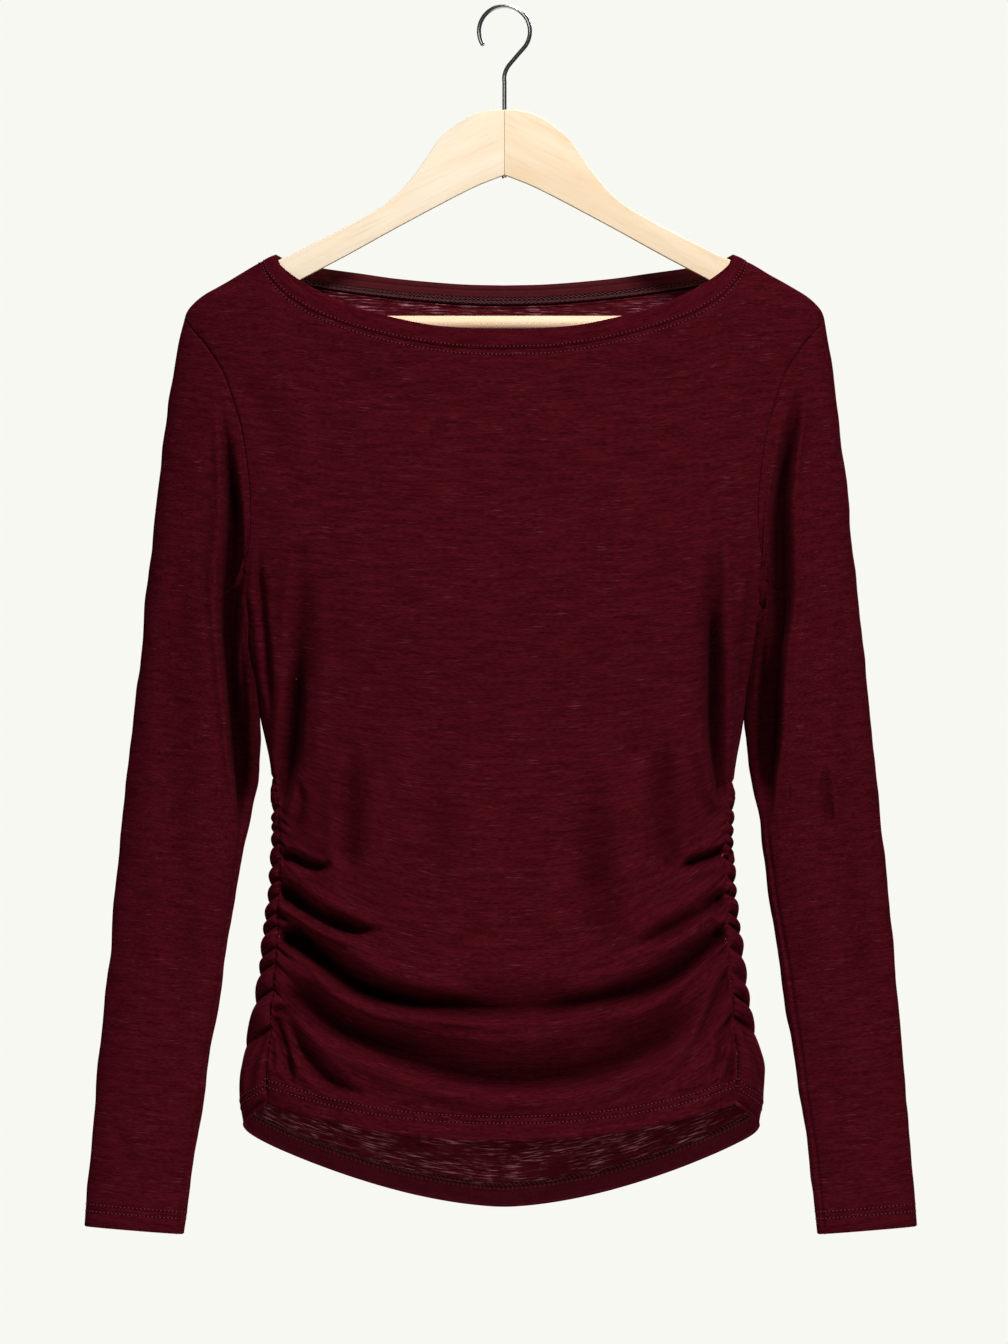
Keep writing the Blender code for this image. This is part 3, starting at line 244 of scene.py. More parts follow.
# A trough along (across, down) places, both as seen from the front. Its floor is `depth`
# below the skin. It rises over `first` on its upper side, or on its right where it runs
# down, and over `second` on the other. It starts and ends over these shares of its length,
# and is narrower there. A depth below 0 is a ridge.
Crease = namedtuple("Crease", "depth first second start end route")
FRONT_CREASES = (
    # beside the left armhole, from the chest to the first gathers
    Crease(7.5, 9.0, 6.5, 0.45, 0.18,
           ((-137, 345), (-136, 385), (-137, 420), (-139, 460), (-143, 500), (-149, 532))),
    Crease(5.5, 2.6, 3.0, 0.3, 0.3,
           ((-164, 352), (-162, 395), (-158, 435), (-155, 478))),
    Crease(4.0, 3.5, 3.0, 0.3, 0.25, ((-137, 512), (-136, 528), (-139, 542), (-146, 549))),
    Crease(8.5, 4.8, 5.0, 0.45, 0.12,
           ((-136, 415), (-138, 445), (-140, 470), (-143.5, 500), (-148, 524), (-150, 538))),
    # pocket under it, and the upright fold that ends beside it
    Crease(9.0, 3.5, 4.0, 0.08, 0.35,
           ((-152, 565), (-142, 566), (-131, 571), (-121, 572), (-114, 566))),
    Crease(6.5, 9.0, 6.0, 0.50, 0.20,
           ((-102, 480), (-103, 515), (-104, 545), (-105, 570), (-108, 582))),
    Crease(2.6, 13.0, 13.0, 0.4, 0.4, ((-50, 490), (-46, 545), (-48, 590), (-56, 630))),
    # left trough
    Crease(14.0, 6.0, 4.5, 0.05, 0.40,
           ((-152, 588), (-143, 592), (-133, 600), (-119, 608), (-103, 614), (-89, 615),
            (-78, 610))),
    Crease(3.5, 2.5, 3.0, 0.05, 0.5, ((-151, 603), (-142, 608), (-132, 618), (-122, 628))),
    # main trough from seam to seam
    Crease(17.0, 10.0, 5.5, 0.05, 0.60,
           ((-152, 615), (-140, 622), (-126, 632), (-112, 643), (-98, 653), (-84, 659), (-68, 663),
            (-40, 667), (-10, 669), (24, 669))),
    Crease(6.5, 13.0, 8.0, 0.35, 0.35, ((-60, 660), (-20, 664), (20, 665), (70, 661))),
    Crease(13.5, 10.0, 5.5, 0.55, 0.05,
           ((5, 669), (36, 667), (66, 662), (88, 657), (104, 650), (118, 641), (130, 631),
            (141, 621),
            (151, 612))),
    # thin crease inside the bright ridge below it
    Crease(2.4, 3.0, 3.0, 0.3, 0.3, ((-70, 671), (-45, 677), (-10, 682), (30, 680), (62, 672))),
    Crease(4.0, 2.5, 3.5, 0.05, 0.5, ((-152, 628), (-143, 633), (-131, 641), (-120, 652))),
    # lower trough, wide and soft
    Crease(-3.2, 5.0, 9.0, 0.2, 0.2,
           ((-146, 638), (-126, 650), (-106, 661), (-76, 670), (-48, 675), (-20, 678), (10, 679),
            (36, 677), (64, 672), (90, 665), (112, 654), (132, 639))),
    Crease(-2.6, 5.0, 9.0, 0.3, 0.3,
           ((-140, 668), (-118, 684), (-98, 697), (-76, 708), (-50, 717), (-9, 723), (30, 722),
            (60, 718))),
    Crease(10.8, 15.0, 8.0, 0.06, 0.18,
           ((-150, 648), (-135, 663), (-120, 674), (-106, 683), (-75, 696), (-48, 705), (-17, 713),
            (10, 714), (34, 712), (57, 708), (84, 698), (108, 684), (128, 665), (145, 645))),
    # left creases that fan out from the seam to the hem
    Crease(8.5, 6.0, 5.0, 0.05, 0.4,
           ((-152, 663), (-145, 676), (-135, 693), (-122, 709), (-106, 720), (-84, 725))),
    Crease(8.0, 3.0, 3.5, 0.06, 0.25,
           ((-154, 671), (-149, 684), (-145, 697), (-142, 709), (-141, 717))),
    Crease(4.5, 2.5, 3.0, 0.05, 0.4, ((-156, 684), (-154, 696), (-153, 708))),
    # beside the right armhole
    Crease(9.0, 5.0, 8.0, 0.45, 0.30,
           ((143, 325), (141, 370), (139, 410), (139, 445), (140, 478), (142, 505), (148, 534))),
    Crease(9.5, 4.4, 4.6, 0.35, 0.12,
           ((141, 385), (140, 430), (140.5, 470), (142, 505), (147, 536))),
    Crease(3.5, 3.5, 3.0, 0.3, 0.3, ((165, 365), (161, 410), (157, 450), (155, 485))),
    Crease(5.0, 4.0, 4.5, 0.35, 0.2, ((128, 488), (131, 512), (137, 532), (146, 545))),
    # upright folds on the right
    Crease(6.0, 7.0, 10.0, 0.45, 0.14,
           ((106, 468), (106, 505), (107, 540), (111, 565), (115, 580))),
    Crease(6.0, 11.0, 15.0, 0.45, 0.30,
           ((57, 490), (57, 525), (59, 558), (63, 590), (67, 615), (73, 636), (83, 650))),
    Crease(-2.6, 13.0, 13.0, 0.4, 0.3, ((82, 495), (83, 560), (88, 610))),
    # right creases that leave the seam
    Crease(9.0, 3.5, 4.0, 0.35, 0.06,
           ((113, 575), (124, 570), (133, 567), (144, 563), (152, 560))),
    Crease(10.0, 6.0, 5.0, 0.40, 0.08,
           ((78, 622), (91, 622), (104, 618), (117, 611), (130, 604), (140, 597), (150, 590))),
    Crease(3.5, 2.5, 3.0, 0.5, 0.05, ((124, 620), (133, 612), (142, 605), (151, 600))),
    Crease(5.5, 3.0, 4.0, 0.4, 0.05, ((110, 668), (121, 655), (132, 643), (142, 633), (152, 625))),
    Crease(6.5, 3.0, 4.0, 0.35, 0.05,
           ((121, 700), (130, 684), (138, 668), (146, 652), (152, 640))),
    Crease(5.0, 3.0, 3.0, 0.35, 0.05, ((139, 716), (143, 700), (148, 684), (153, 668))),
    Crease(7.0, 2.5, 3.5, 0.3, 0.08, ((146, 722), (149, 706), (152, 694), (154, 684))),
    # soft drag lines below the shoulders
    Crease(2.0, 10.0, 9.0, 0.4, 0.4, ((-192, 232), (-172, 252), (-152, 287), (-140, 335))),
    Crease(2.0, 9.0, 10.0, 0.4, 0.4, ((190, 230), (172, 250), (156, 282), (146, 325))),
    Crease(1.6, 14.0, 12.0, 0.4, 0.4, ((-150, 205), (-110, 240), (-60, 262), (0, 268))),
    Crease(1.6, 12.0, 14.0, 0.4, 0.4, ((0, 262), (60, 256), (112, 236), (150, 206))),
    # the shoulder seams lie forward of the shoulders' ridges
    Crease(1.3, 1.8, 1.8, 0.02, 0.2,
           ((-155.7, 172.4), (-165.7, 176.0), (-184.0, 184.5), (-198.0, 191.5))),
    Crease(1.3, 1.8, 1.8, 0.02, 0.2,
           ((161.0, 174.0), (174.3, 179.5), (187.7, 188.7), (200.0, 199.5))),
)
BACK_CREASES = (
    Crease(11.0, 10.0, 5.5, 0.45, 0.12,
           ((-118, 320), (-122, 370), (-125, 430), (-128, 480), (-138, 515), (-146, 532))),
    Crease(12.0, 6.0, 10.0, 0.4, 0.12,
           ((112, 315), (116, 370), (121, 430), (126, 475), (136, 512), (147, 530))),
    Crease(4.6, 10.0, 9.0, 0.4, 0.3, ((38, 470), (42, 530), (47, 580), (54, 630))),
    Crease(4.2, 9.0, 12.0, 0.4, 0.35, ((-52, 488), (-50, 540), (-54, 590))),
    Crease(8.0, 3.5, 4.5, 0.06, 0.35, ((-152, 571), (-140, 573), (-126, 579), (-110, 582))),
    Crease(12.0, 6.0, 4.5, 0.05, 0.35,
           ((-152, 594), (-141, 600), (-124, 612), (-100, 622), (-74, 624))),
    Crease(15.0, 9.0, 5.0, 0.05, 0.05,
           ((-152, 622), (-138, 634), (-118, 650), (-90, 662), (-50, 671), (0, 674), (46, 670),
            (86, 660), (114, 646), (134, 630), (151, 614))),
    Crease(2.6, 3.0, 3.5, 0.3, 0.3, ((-60, 684), (-20, 690), (24, 690), (66, 680))),
    Crease(12.0, 12.0, 7.0, 0.05, 0.08,
           ((-151, 650), (-138, 668), (-118, 692), (-88, 712), (-48, 726), (0, 731), (44, 726),
            (86, 710), (118, 686), (138, 662), (150, 645))),
    Crease(9.0, 4.5, 4.5, 0.35, 0.06, ((70, 618), (92, 615), (114, 607), (134, 596), (151, 586))),
    Crease(7.0, 3.5, 4.0, 0.35, 0.06, ((112, 579), (126, 573), (140, 567), (152, 563))),
    Crease(6.5, 4.0, 4.5, 0.05, 0.4,
           ((-152, 676), (-144, 692), (-130, 714), (-112, 736), (-96, 750))),
    Crease(6.5, 4.0, 4.5, 0.4, 0.05, ((98, 752), (116, 730), (132, 708), (144, 688), (152, 670))),
    Crease(4.5, 2.5, 3.0, 0.1, 0.3, ((-156, 683), (-163, 703), (-169, 724))),
    Crease(4.5, 2.5, 3.0, 0.1, 0.3, ((158, 680), (165, 702), (170, 724))),
    Crease(4.4, 3.0, 4.0, 0.05, 0.4, ((-154, 692), (-149, 708), (-142, 726), (-136, 740))),
    Crease(4.4, 3.0, 4.0, 0.4, 0.05, ((136, 738), (143, 722), (149, 706), (154, 690))),
    Crease(2.3, 14.0, 14.0, 0.4, 0.4, ((-70, 740), (-20, 758), (36, 758), (80, 742))),
    Crease(2.0, 10.0, 9.0, 0.4, 0.4, ((-192, 232), (-174, 262), (-152, 300), (-136, 350))),
    Crease(2.0, 9.0, 10.0, 0.4, 0.4, ((192, 232), (174, 262), (150, 300), (132, 345))),
)

# ---------------------------------------------------------------- sleeves

Arm = namedtuple("Arm", "down left_outer left_inner right_outer right_inner")
ARMS = (
    Arm(207.0, 213.2, 213.2, 213.2, 213.2),
    Arm(220.0, 216.5, 213.0, 215.5, 213.0),
    Arm(234.7, 219.7, 211.0, 217.7, 211.0),
    Arm(288.0, 227.0, 203.0, 224.7, 203.0),
    Arm(341.3, 233.7, 194.0, 230.3, 194.0),
    Arm(392.7, 239.0, 184.4, 236.3, 184.4),
    Arm(408.0, 240.5, 179.8, 237.5, 179.1),
    Arm(424.7, 242.3, 174.9, 239.0, 173.0),
    Arm(454.7, 245.7, 167.4, 241.7, 164.4),
    Arm(474.7, 247.7, 164.9, 244.3, 162.0),
    Arm(488.0, 249.0, 164.9, 245.7, 163.5),
    Arm(514.7, 251.9, 167.3, 248.3, 166.7),
    Arm(554.7, 256.3, 173.0, 252.3, 171.3),
    Arm(608.0, 261.7, 181.7, 257.7, 178.3),
    Arm(661.3, 266.3, 190.3, 262.3, 187.0),
    Arm(714.7, 271.7, 199.0, 267.0, 195.0),
    Arm(768.0, 276.3, 207.0, 271.7, 203.0),
    Arm(818.0, 280.6, 213.8, 275.6, 208.6),
)
CUFF_OUTER_DOWN = 811.3
CUFF_INNER_DOWN = 816.7
SLEEVE_BLEND = 0.42
SLEEVE_RELEASE = 2.6
UNDERARM_RELEASE = 4.0
SLEEVE_LENGTH = 610.0
SLEEVE_RADIUS = 33.0

ArmDepth = namedtuple("ArmDepth", "share front back")
ARM_DEPTHS = (
    ArmDepth(0.0, 31.0, 26.0),
    ArmDepth(0.15, 29.0, 25.0),
    ArmDepth(0.35, 23.0, 21.0),
    ArmDepth(0.6, 17.0, 16.0),
    ArmDepth(0.85, 13.5, 13.5),
    ArmDepth(1.0, 12.8, 12.8),
)

# A trough along (share of the sleeve's length, degrees round it) places. The degrees run
# from the outer edge over the front, so 180 is the edge beside the body. It rises over
# `first` towards the outer edge, and over `second` on the other side.
LEFT_SLEEVE_CREASES = (
    Crease(16.0, 4.8, 15.0, 0.16, 0.24,
           ((0.012, 50), (0.03, 68), (0.06, 86), (0.10, 96), (0.16, 100), (0.20, 106), (0.24, 119),
            (0.30, 136), (0.37, 152), (0.40, 157))),
    Crease(3.0, 11.0, 12.0, 0.30, 0.30,
           ((0.15, 50), (0.21, 55), (0.30, 67), (0.36, 70), (0.45, 84), (0.56, 101), (0.68, 112),
            (0.82, 124))),
    Crease(-6.0, 3.0, 4.0, 0.2, 0.3,
           ((0.06, 132), (0.11, 129), (0.16, 127), (0.22, 126), (0.27, 130))),
    Crease(4.0, 2.5, 3.0, 0.2, 0.4, ((0.02, 150), (0.06, 140), (0.11, 146), (0.17, 152))),
    Crease(3.0, 2.5, 3.0, 0.3, 0.4, ((0.13, 126), (0.19, 136), (0.25, 146))),
    Crease(1.8, 1.9, 1.9, 0.10, 0.02,
           ((0.28, 160), (0.36, 157), (0.48, 160), (0.70, 160), (0.83, 155), (1.0, 150))),
    Crease(1.2, 5.0, 5.0, 0.4, 0.4, ((0.86, 40), (0.91, 74), (0.93, 110))),
    Crease(6.0, 9.0, 12.0, 0.35, 0.35, ((0.12, 262), (0.25, 240), (0.42, 232), (0.58, 236))),
    Crease(3.6, 12.0, 10.0, 0.35, 0.35, ((0.42, 286), (0.68, 292), (0.92, 280))),
)
RIGHT_SLEEVE_CREASES = (
    Crease(16.0, 4.6, 15.0, 0.16, 0.25,
           ((0.02, 42), (0.035, 52), (0.06, 65), (0.08, 77), (0.11, 86), (0.19, 97), (0.22, 112),
            (0.26, 124), (0.31, 134), (0.38, 148))),
    Crease(8.0, 2.2, 2.6, 0.30, 0.15, ((0.078, 114), (0.062, 122), (0.045, 132), (0.014, 150))),
    Crease(6.0, 2.2, 2.6, 0.35, 0.2, ((0.112, 118), (0.096, 128), (0.080, 140))),
    Crease(3.0, 2.5, 3.0, 0.3, 0.4, ((0.14, 122), (0.20, 132), (0.26, 146))),
    Crease(2.6, 10.0, 12.0, 0.35, 0.35,
           ((0.30, 52), (0.42, 60), (0.58, 66), (0.74, 60), (0.86, 68))),
    Crease(5.0, 2.0, 3.2, 0.3, 0.4, ((0.405, 80), (0.44, 83), (0.474, 81), (0.51, 79))),
    Crease(1.8, 1.9, 1.9, 0.10, 0.02,
           ((0.34, 156), (0.46, 152), (0.61, 150), (0.77, 150), (1.0, 150))),
    Crease(1.2, 6.0, 6.0, 0.4, 0.4, ((0.66, 112), (0.76, 108), (0.90, 116))),
    Crease(6.0, 9.0, 12.0, 0.35, 0.35, ((0.10, 256), (0.24, 236), (0.38, 230), (0.54, 236))),
    Crease(3.6, 12.0, 10.0, 0.35, 0.35, ((0.32, 290), (0.58, 280), (0.86, 288))),
)
SLEEVE_TUCKS = {LEFT: 3.4, RIGHT: 4.5}    # how far a sleeve reaches behind the body's side
SLEEVE_TUCK_BACK = 13.0
TUCK_GROWTH = 0.05        # shares of the sleeve's length
TUCK_END = 0.26
TUCK_FADING = 0.16
ARM_ROUNDNESS = 0.9       # power of the sine that gives a section's depth
SLEEVE_LEAN = 0.108       # a sleeve's way out for each step down
SLEEVE_CALM = 30.0        # unevenness fades out over this length at both ends
BESIDE_BODY_PAINTED_SHADE = 0.75  # painted shade on the sleeves' sides that face the body

# ---------------------------------------------------------------- stitching

HEM_STITCHES = (10.7, 15.3)       # distances of the needle rows from the hem's edge
CUFF_STITCHES = (9.6, 14.2)
BAND_STITCH = 2.0                 # above the neck seam, on the band
PANEL_STITCH = 3.3                # below the neck seam, on the panels
STITCH_PITCH = 2.7
STITCH_LENGTH = 1.5
STITCH_RADIUS = 0.38
STITCH_LIFT = 0.08
HOLE_LENGTH = 1.2
CHEVRON_PITCH = 3.07
HEM_CHEVRON_LIFT = 0.15
HEM_CHEVRON_RADIUS = 0.34
BAND_CHEVRONS = (6.0, 1.7)        # from the neck seam, inside the band
BAND_CHEVRON_LIFT = 0.2
BAND_CHEVRON_RADIUS = 0.29

# ---------------------------------------------------------------- hanger

WOOD_THICKNESS = 11.0
WOOD_ROUNDING = 3.0
RIDGE_TO_WOOD = 4.2       # the wood's top lies this far below the shoulder's ridge
SHOULDER_TO_WOOD = 3.2
WOOD_IN_SHOULDER = (184.7, 192.0, 200.0, 204.0)
WIRE_RADIUS = 1.4
HOOK_RADIUS = 17.0
HOOK_END_ANGLE = 212.0
HOOK_START_ANGLE = -37.0
BAR_RADIUS = 4.8
BAR_DOWN = 210.0
BAR_HALF_LENGTH = 180.3
BAR_END_RADIUS = 3.9
BAR_IN_BOSS = 8.0         # how far its ends go into the bosses
BOSS_INNER = 180.6
BOSS_OUTER = 196.0
BOSS_BOTTOM = 217.0
BOSS_TOP = 205.4
TIP_ACROSS = 201.0
TIP_DOWN = 209.0
Wood = namedtuple("Wood", "across down")
WOOD_TOP = (
    Wood(0.0, 68.0), Wood(10.0, 68.4), Wood(22.0, 71.6), Wood(34.0, 79.3), Wood(43.5, 87.5),
    Wood(50.0, 96.8), Wood(57.5, 108.0), Wood(69.7, 122.5), Wood(83.0, 133.2),
    Wood(103.0, 144.8), Wood(129.7, 158.2), Wood(143.0, 165.0), Wood(152.3, 169.2),
)
WOOD_BOTTOM = (
    Wood(0.0, 111.5), Wood(23.0, 120.9), Wood(69.7, 145.4), Wood(103.0, 163.8),
    Wood(136.3, 181.4), Wood(168.0, 198.2), Wood(176.0, 202.8),
)


# ---------------------------------------------------------------- curves and tables

def table_value(rows, column, at):
    """Read a column at a place along the first column, on a smooth curve."""
    places = [row[0] for row in rows]
    values = [getattr(row, column) for row in rows]
    if at <= places[0]:
        return values[0]
    if at >= places[-1]:
        return values[-1]
    k = max(i for i, place in enumerate(places) if place <= at)
    slopes = []
    for i in (k, k + 1):
        low = max(i - 1, 0)
        high = min(i + 1, len(rows) - 1)
        slopes.append((values[high] - values[low]) / (places[high] - places[low]))
    span = places[k + 1] - places[k]
    t = (at - places[k]) / span
    return ((2 * t ** 3 - 3 * t ** 2 + 1) * values[k] + (t ** 3 - 2 * t ** 2 + t) * span * slopes[0]
            + (3 * t ** 2 - 2 * t ** 3) * values[k + 1] + (t ** 3 - t ** 2) * span * slopes[1])


def smooth_path(points, steps=12):
    """A Catmull-Rom curve through the points, as many short runs."""
    points = [Vector(p) for p in points]
    first = points[0] * 2 - points[1]
    last = points[-1] * 2 - points[-2]
    ends = [first] + points + [last]
    path = []
    for a, b, c, d in zip(ends, ends[1:], ends[2:], ends[3:]):
        for step in range(steps):
            t = step / steps
            path.append(0.5 * ((2 * b) + (c - a) * t + (2 * a - 5 * b + 4 * c - d) * t ** 2
                               + (3 * b - a - 3 * c + d) * t ** 3))
    path.append(points[-1])
    return path


def points_along(path, shares):
    """Points at the given shares of a path's length."""
    lengths = [0.0]
    for a, b in zip(path, path[1:]):
        lengths.append(lengths[-1] + (b - a).length)
    found = []
    k = 0
    for share in shares:
        goal = share * lengths[-1]
        while k < len(path) - 2 and lengths[k + 1] < goal:
            k += 1
        run = lengths[k + 1] - lengths[k]
        found.append(path[k].lerp(path[k + 1], min((goal - lengths[k]) / run, 1.0)))
    return found


def path_lengths(points):
    """Distance travelled along a line of points."""
    steps = np.linalg.norm(np.diff(points, axis=0), axis=1)
    return np.concatenate(([0.0], np.cumsum(steps)))


def smooth_step(value):
    value = np.clip(value, 0.0, 1.0)
    return value * value * (3 - 2 * value)


# ---------------------------------------------------------------- the skin

def half_width(side, down):
    return table_value(WIDTHS, "left" if side == LEFT else "right", down)


def skin_point(side, down, angle):
    """A point of a section: 0 is the front middle, 90 the outline and 180 the back middle."""
    turn = math.radians(angle)
    across = half_width(side, down) * abs(math.sin(turn)) ** (2 / PLAN_POWER)
    depth = table_value(DEPTHS, "front" if angle < 90 else "back", down)
    return (side * across, -depth * math.cos(turn), -down)


def skin_over(across, down, front):
    """The skin's point at a place seen from the front, on its front or its back."""
    side = LEFT if across < 0 else RIGHT
    share = min(abs(across) / half_width(side, down), 1.0)
    depth = table_value(DEPTHS, "front" if front else "back", down)
    return (across, (-depth if front else depth) * math.sqrt(1 - share ** PLAN_POWER), -down)


def seam_angle(side, down):
    share = 1 - table_value(SEAM_INSETS, "inset", down) / half_width(side, down)
    return math.degrees(math.asin(min(1.0, share ** (PLAN_POWER / 2))))


def column_shares():
    return [(i / HALF_COLUMNS) ** COLUMN_CROWDING for i in range(HALF_COLUMNS + 1)]


def seam_rows():
    """Rows down the side seam as (left, right, gather number or None, phase)."""
    rows = []
    for i in range(WAIST_ROWS):
        t = i / WAIST_ROWS
        rows.append((UNDERARM + (GATHERS[0].left - UNDERARM) * t,
                     UNDERARM + (GATHERS[0].right - UNDERARM) * t, None, 0.0))
    ends = [(gather.left, gather.right) for gather in GATHERS[1:]] + [(HEM_AT_SEAM, HEM_AT_SEAM)]
    for number, (gather, (left_end, right_end)) in enumerate(zip(GATHERS, ends)):
        steps = max(4, round((left_end - gather.left) / ROW_HEIGHT))
        for k in range(steps):
            t = k / steps
            rows.append((gather.left + (left_end - gather.left) * t,
                         gather.right + (right_end - gather.right) * t, number, t))
    rows.append((HEM_AT_SEAM, HEM_AT_SEAM, None, 0.0))
    return rows


def lower_half_row(side, seam_down, front):
    """Points of one row below the underarm, from the side seam to the middle."""
    turns = np.linspace(seam_angle(side, seam_down), 0.0 if front else 180.0, 61)
    lengths = path_lengths(np.array([skin_point(side, seam_down, turn) for turn in turns]))
    shares = np.array(column_shares())
    angles = np.interp(shares * lengths[-1], lengths, turns)
    middle = table_value(HANGS, "front" if front else "back", seam_down)
    power = FRONT_HANG_POWER if front else BACK_HANG_POWER
    downs = seam_down + (middle - seam_down) * (1 - (1 - shares) ** power)
    return [skin_point(side, down, angle) for down, angle in zip(downs, angles)]


def neck_line(rows, side, front, count):
    """Points along a neck seam or edge, from the shoulder to the middle."""
    path = smooth_path([(side * row.across, 0.0, -row.down) for row in rows])
    line = points_along(path, [(i / count) ** NECK_CROWDING for i in range(count + 1)])
    points = [list(skin_over(point.x, -point.z, front)) for point in line]
    points[0][1] = 0.0
    points[-1][0] = 0.0
    return points


def top_half_row(side, front):
    """Points of the shoulder seam and the neck seam, from the armhole to the middle."""
    drop = (NECK_POINT - SHOULDER_POINT) / SHOULDER_COLUMNS
    row = []
    for i in range(SHOULDER_COLUMNS):
        down = SHOULDER_POINT + drop * i
        row.append((side * half_width(side, down), 0.0, -down))
    return row + neck_line(FRONT_NECK_SEAM if front else BACK_NECK_SEAM, side, front,
                           HALF_COLUMNS - SHOULDER_COLUMNS)


def armhole_turns():
    """Angles of the armhole's rows, from 180 at the underarm to 0 at the shoulder."""
    count = round(180.0 / ARMHOLE_STEP)
    return [180.0 - ARMHOLE_STEP * k for k in range(count + 1)]


def upper_half_rows(side, front):
    """Rows between the underarm and the top edge, each from the armhole to the middle."""
    under = np.array(lower_half_row(side, UNDERARM, front))
    top = np.array(top_half_row(side, front))
    rows = []
    for turn in armhole_turns()[1:-1]:
        share = (1 + math.cos(math.radians(turn))) / 2
        down = UNDERARM + (SHOULDER_POINT - UNDERARM) * share
        armhole = side * table_value(ARMHOLE, "front" if front else "back", down)
        between = under + (top - under) * share
        squeeze = armhole / between[0, 0]
        rows.append([skin_over(x * squeeze, -z, front) for x, _, z in between])
    rows.append([tuple(point) for point in top])
    return rows


def base_grid(front):
    """A panel's rows from hem to top, each from the left edge to the right, with no folds."""
    grid = []
    for left_down, right_down, _, _ in reversed(seam_rows()):
        left = lower_half_row(LEFT, left_down, front)
        grid.append(left + lower_half_row(RIGHT, right_down, front)[-2::-1])
    for left, right in zip(upper_half_rows(LEFT, front), upper_half_rows(RIGHT, front)):
        grid.append(left + right[-2::-1])
    grid = np.array(grid, float)
    grid[:, HALF_COLUMNS, 0] = 0.0
    return grid


# ---------------------------------------------------------------- normals

def grid_normals(grid, ring):
    """Unit normals of a grid of points, pointing out of the garment."""
    up = np.gradient(grid, axis=0)
    if ring:
        along = np.roll(grid, -1, axis=1) - np.roll(grid, 1, axis=1)
    else:
        along = np.gradient(grid, axis=1)
    normals = np.cross(along, up)
    length = np.linalg.norm(normals, axis=2, keepdims=True)
    return normals / np.maximum(length, 1e-9)


def unit(vectors):
    return vectors / np.maximum(np.linalg.norm(vectors, axis=-1, keepdims=True), 1e-9)


def blend_normals(first, second):
    """One normal for both sides of a seam, unless the cloth folds back on itself there."""
    weight = np.clip((first * second).sum(axis=-1, keepdims=True) + 0.5, 0.0, 1.0)
    both = unit(first + second)
    return unit(first + (both - first) * weight), unit(second + (both - second) * weight)


def underarm_row(grid):
    return len(grid) - len(armhole_turns())


def shared_seams(grid):
    """Where the two panels share points: both side seams and both shoulder seams."""
    sides = slice(0, underarm_row(grid) + 1)
    return ((sides, 0), (sides, -1),
            (-1, slice(0, SHOULDER_COLUMNS + 1)), (-1, slice(-SHOULDER_COLUMNS - 1, None)))


def panel_normals(front, back):
    """Normals of both panels, shared along the seams between them."""
    front_normals = grid_normals(front, ring=False)
    back_normals = -grid_normals(back, ring=False)
    for seam in shared_seams(front):
        front_normals[seam], back_normals[seam] = blend_normals(
            front_normals[seam], back_normals[seam])
    return front_normals, back_normals


# ---------------------------------------------------------------- gathers and creases

def trough(places, crease):
    """How deep one crease is at each of many flat places, as an array."""
    path = np.array([(p.x, p.y) for p in smooth_path([(a, b, 0.0) for a, b in crease.route], 8)])
    reach = CREASE_REACH * max(crease.first, crease.second)
    near = np.all((places > path.min(axis=0) - reach) & (places < path.max(axis=0) + reach),
                  axis=1)
    depth = np.zeros(len(places))
    if not near.any():
        return depth
    chosen = places[near]
    starts = path[:-1]
    runs = path[1:] - starts
    lengths = np.linalg.norm(runs, axis=1)
    travelled = np.concatenate(([0.0], np.cumsum(lengths)))
    best = np.full(len(chosen), 1e9)
    side = np.zeros(len(chosen))
    share = np.zeros(len(chosen))
    for start, run, length, before in zip(starts, runs, lengths, travelled):
        offset = chosen - start
        t = np.clip(offset @ run / length ** 2, 0.0, 1.0)
        away = offset - t[:, None] * run
        distance = np.linalg.norm(away, axis=1)
        closer = distance < best
        best[closer] = distance[closer]
        side[closer] = (run[0] * away[:, 1] - run[1] * away[:, 0])[closer]
        share[closer] = ((before + t * length) / travelled[-1])[closer]
    fade = smooth_step(share / crease.start) * smooth_step((1 - share) / crease.end)
    width = np.where(side < 0, crease.first, crease.second) * (0.45 + 0.55 * fade)
    widths_away = best / width
    lip = LIP * np.exp(-((widths_away - LIP_PLACE) / LIP_WIDTH) ** 2)
    profile = np.exp(-widths_away ** 2) - lip
    depth[near] = crease.depth * fade * profile
    return depth


def within(depth, room):
    """The depth of folds, softly held within the room there is."""
    room = np.maximum(room, 0.1)
    return np.where(depth > 0, room * np.tanh(depth / room), depth)


def puff(down, side):
    """The small gathers at the stitched seam: how far the cloth stands out at a height."""
    turn = (down - GATHERS[0].left) / PUFF_PITCH
    turn += 0.22 * math.sin(down * 0.31 + side) + 0.17 * math.sin(down * 0.83 - side * 2)
    height = 0.75 + 0.25 * math.sin(down * 0.47 + side * 1.7)
    start = min(max((down - PUFF_START) / PUFF_GROWTH, 0.0), 1.0)
    end = min(max((PUFF_END - down) / PUFF_FADING, 0.0), 1.0)
    return (abs(math.sin(math.pi * turn)) ** 0.6 - 0.6) * PUFF_RISE * height * start * end


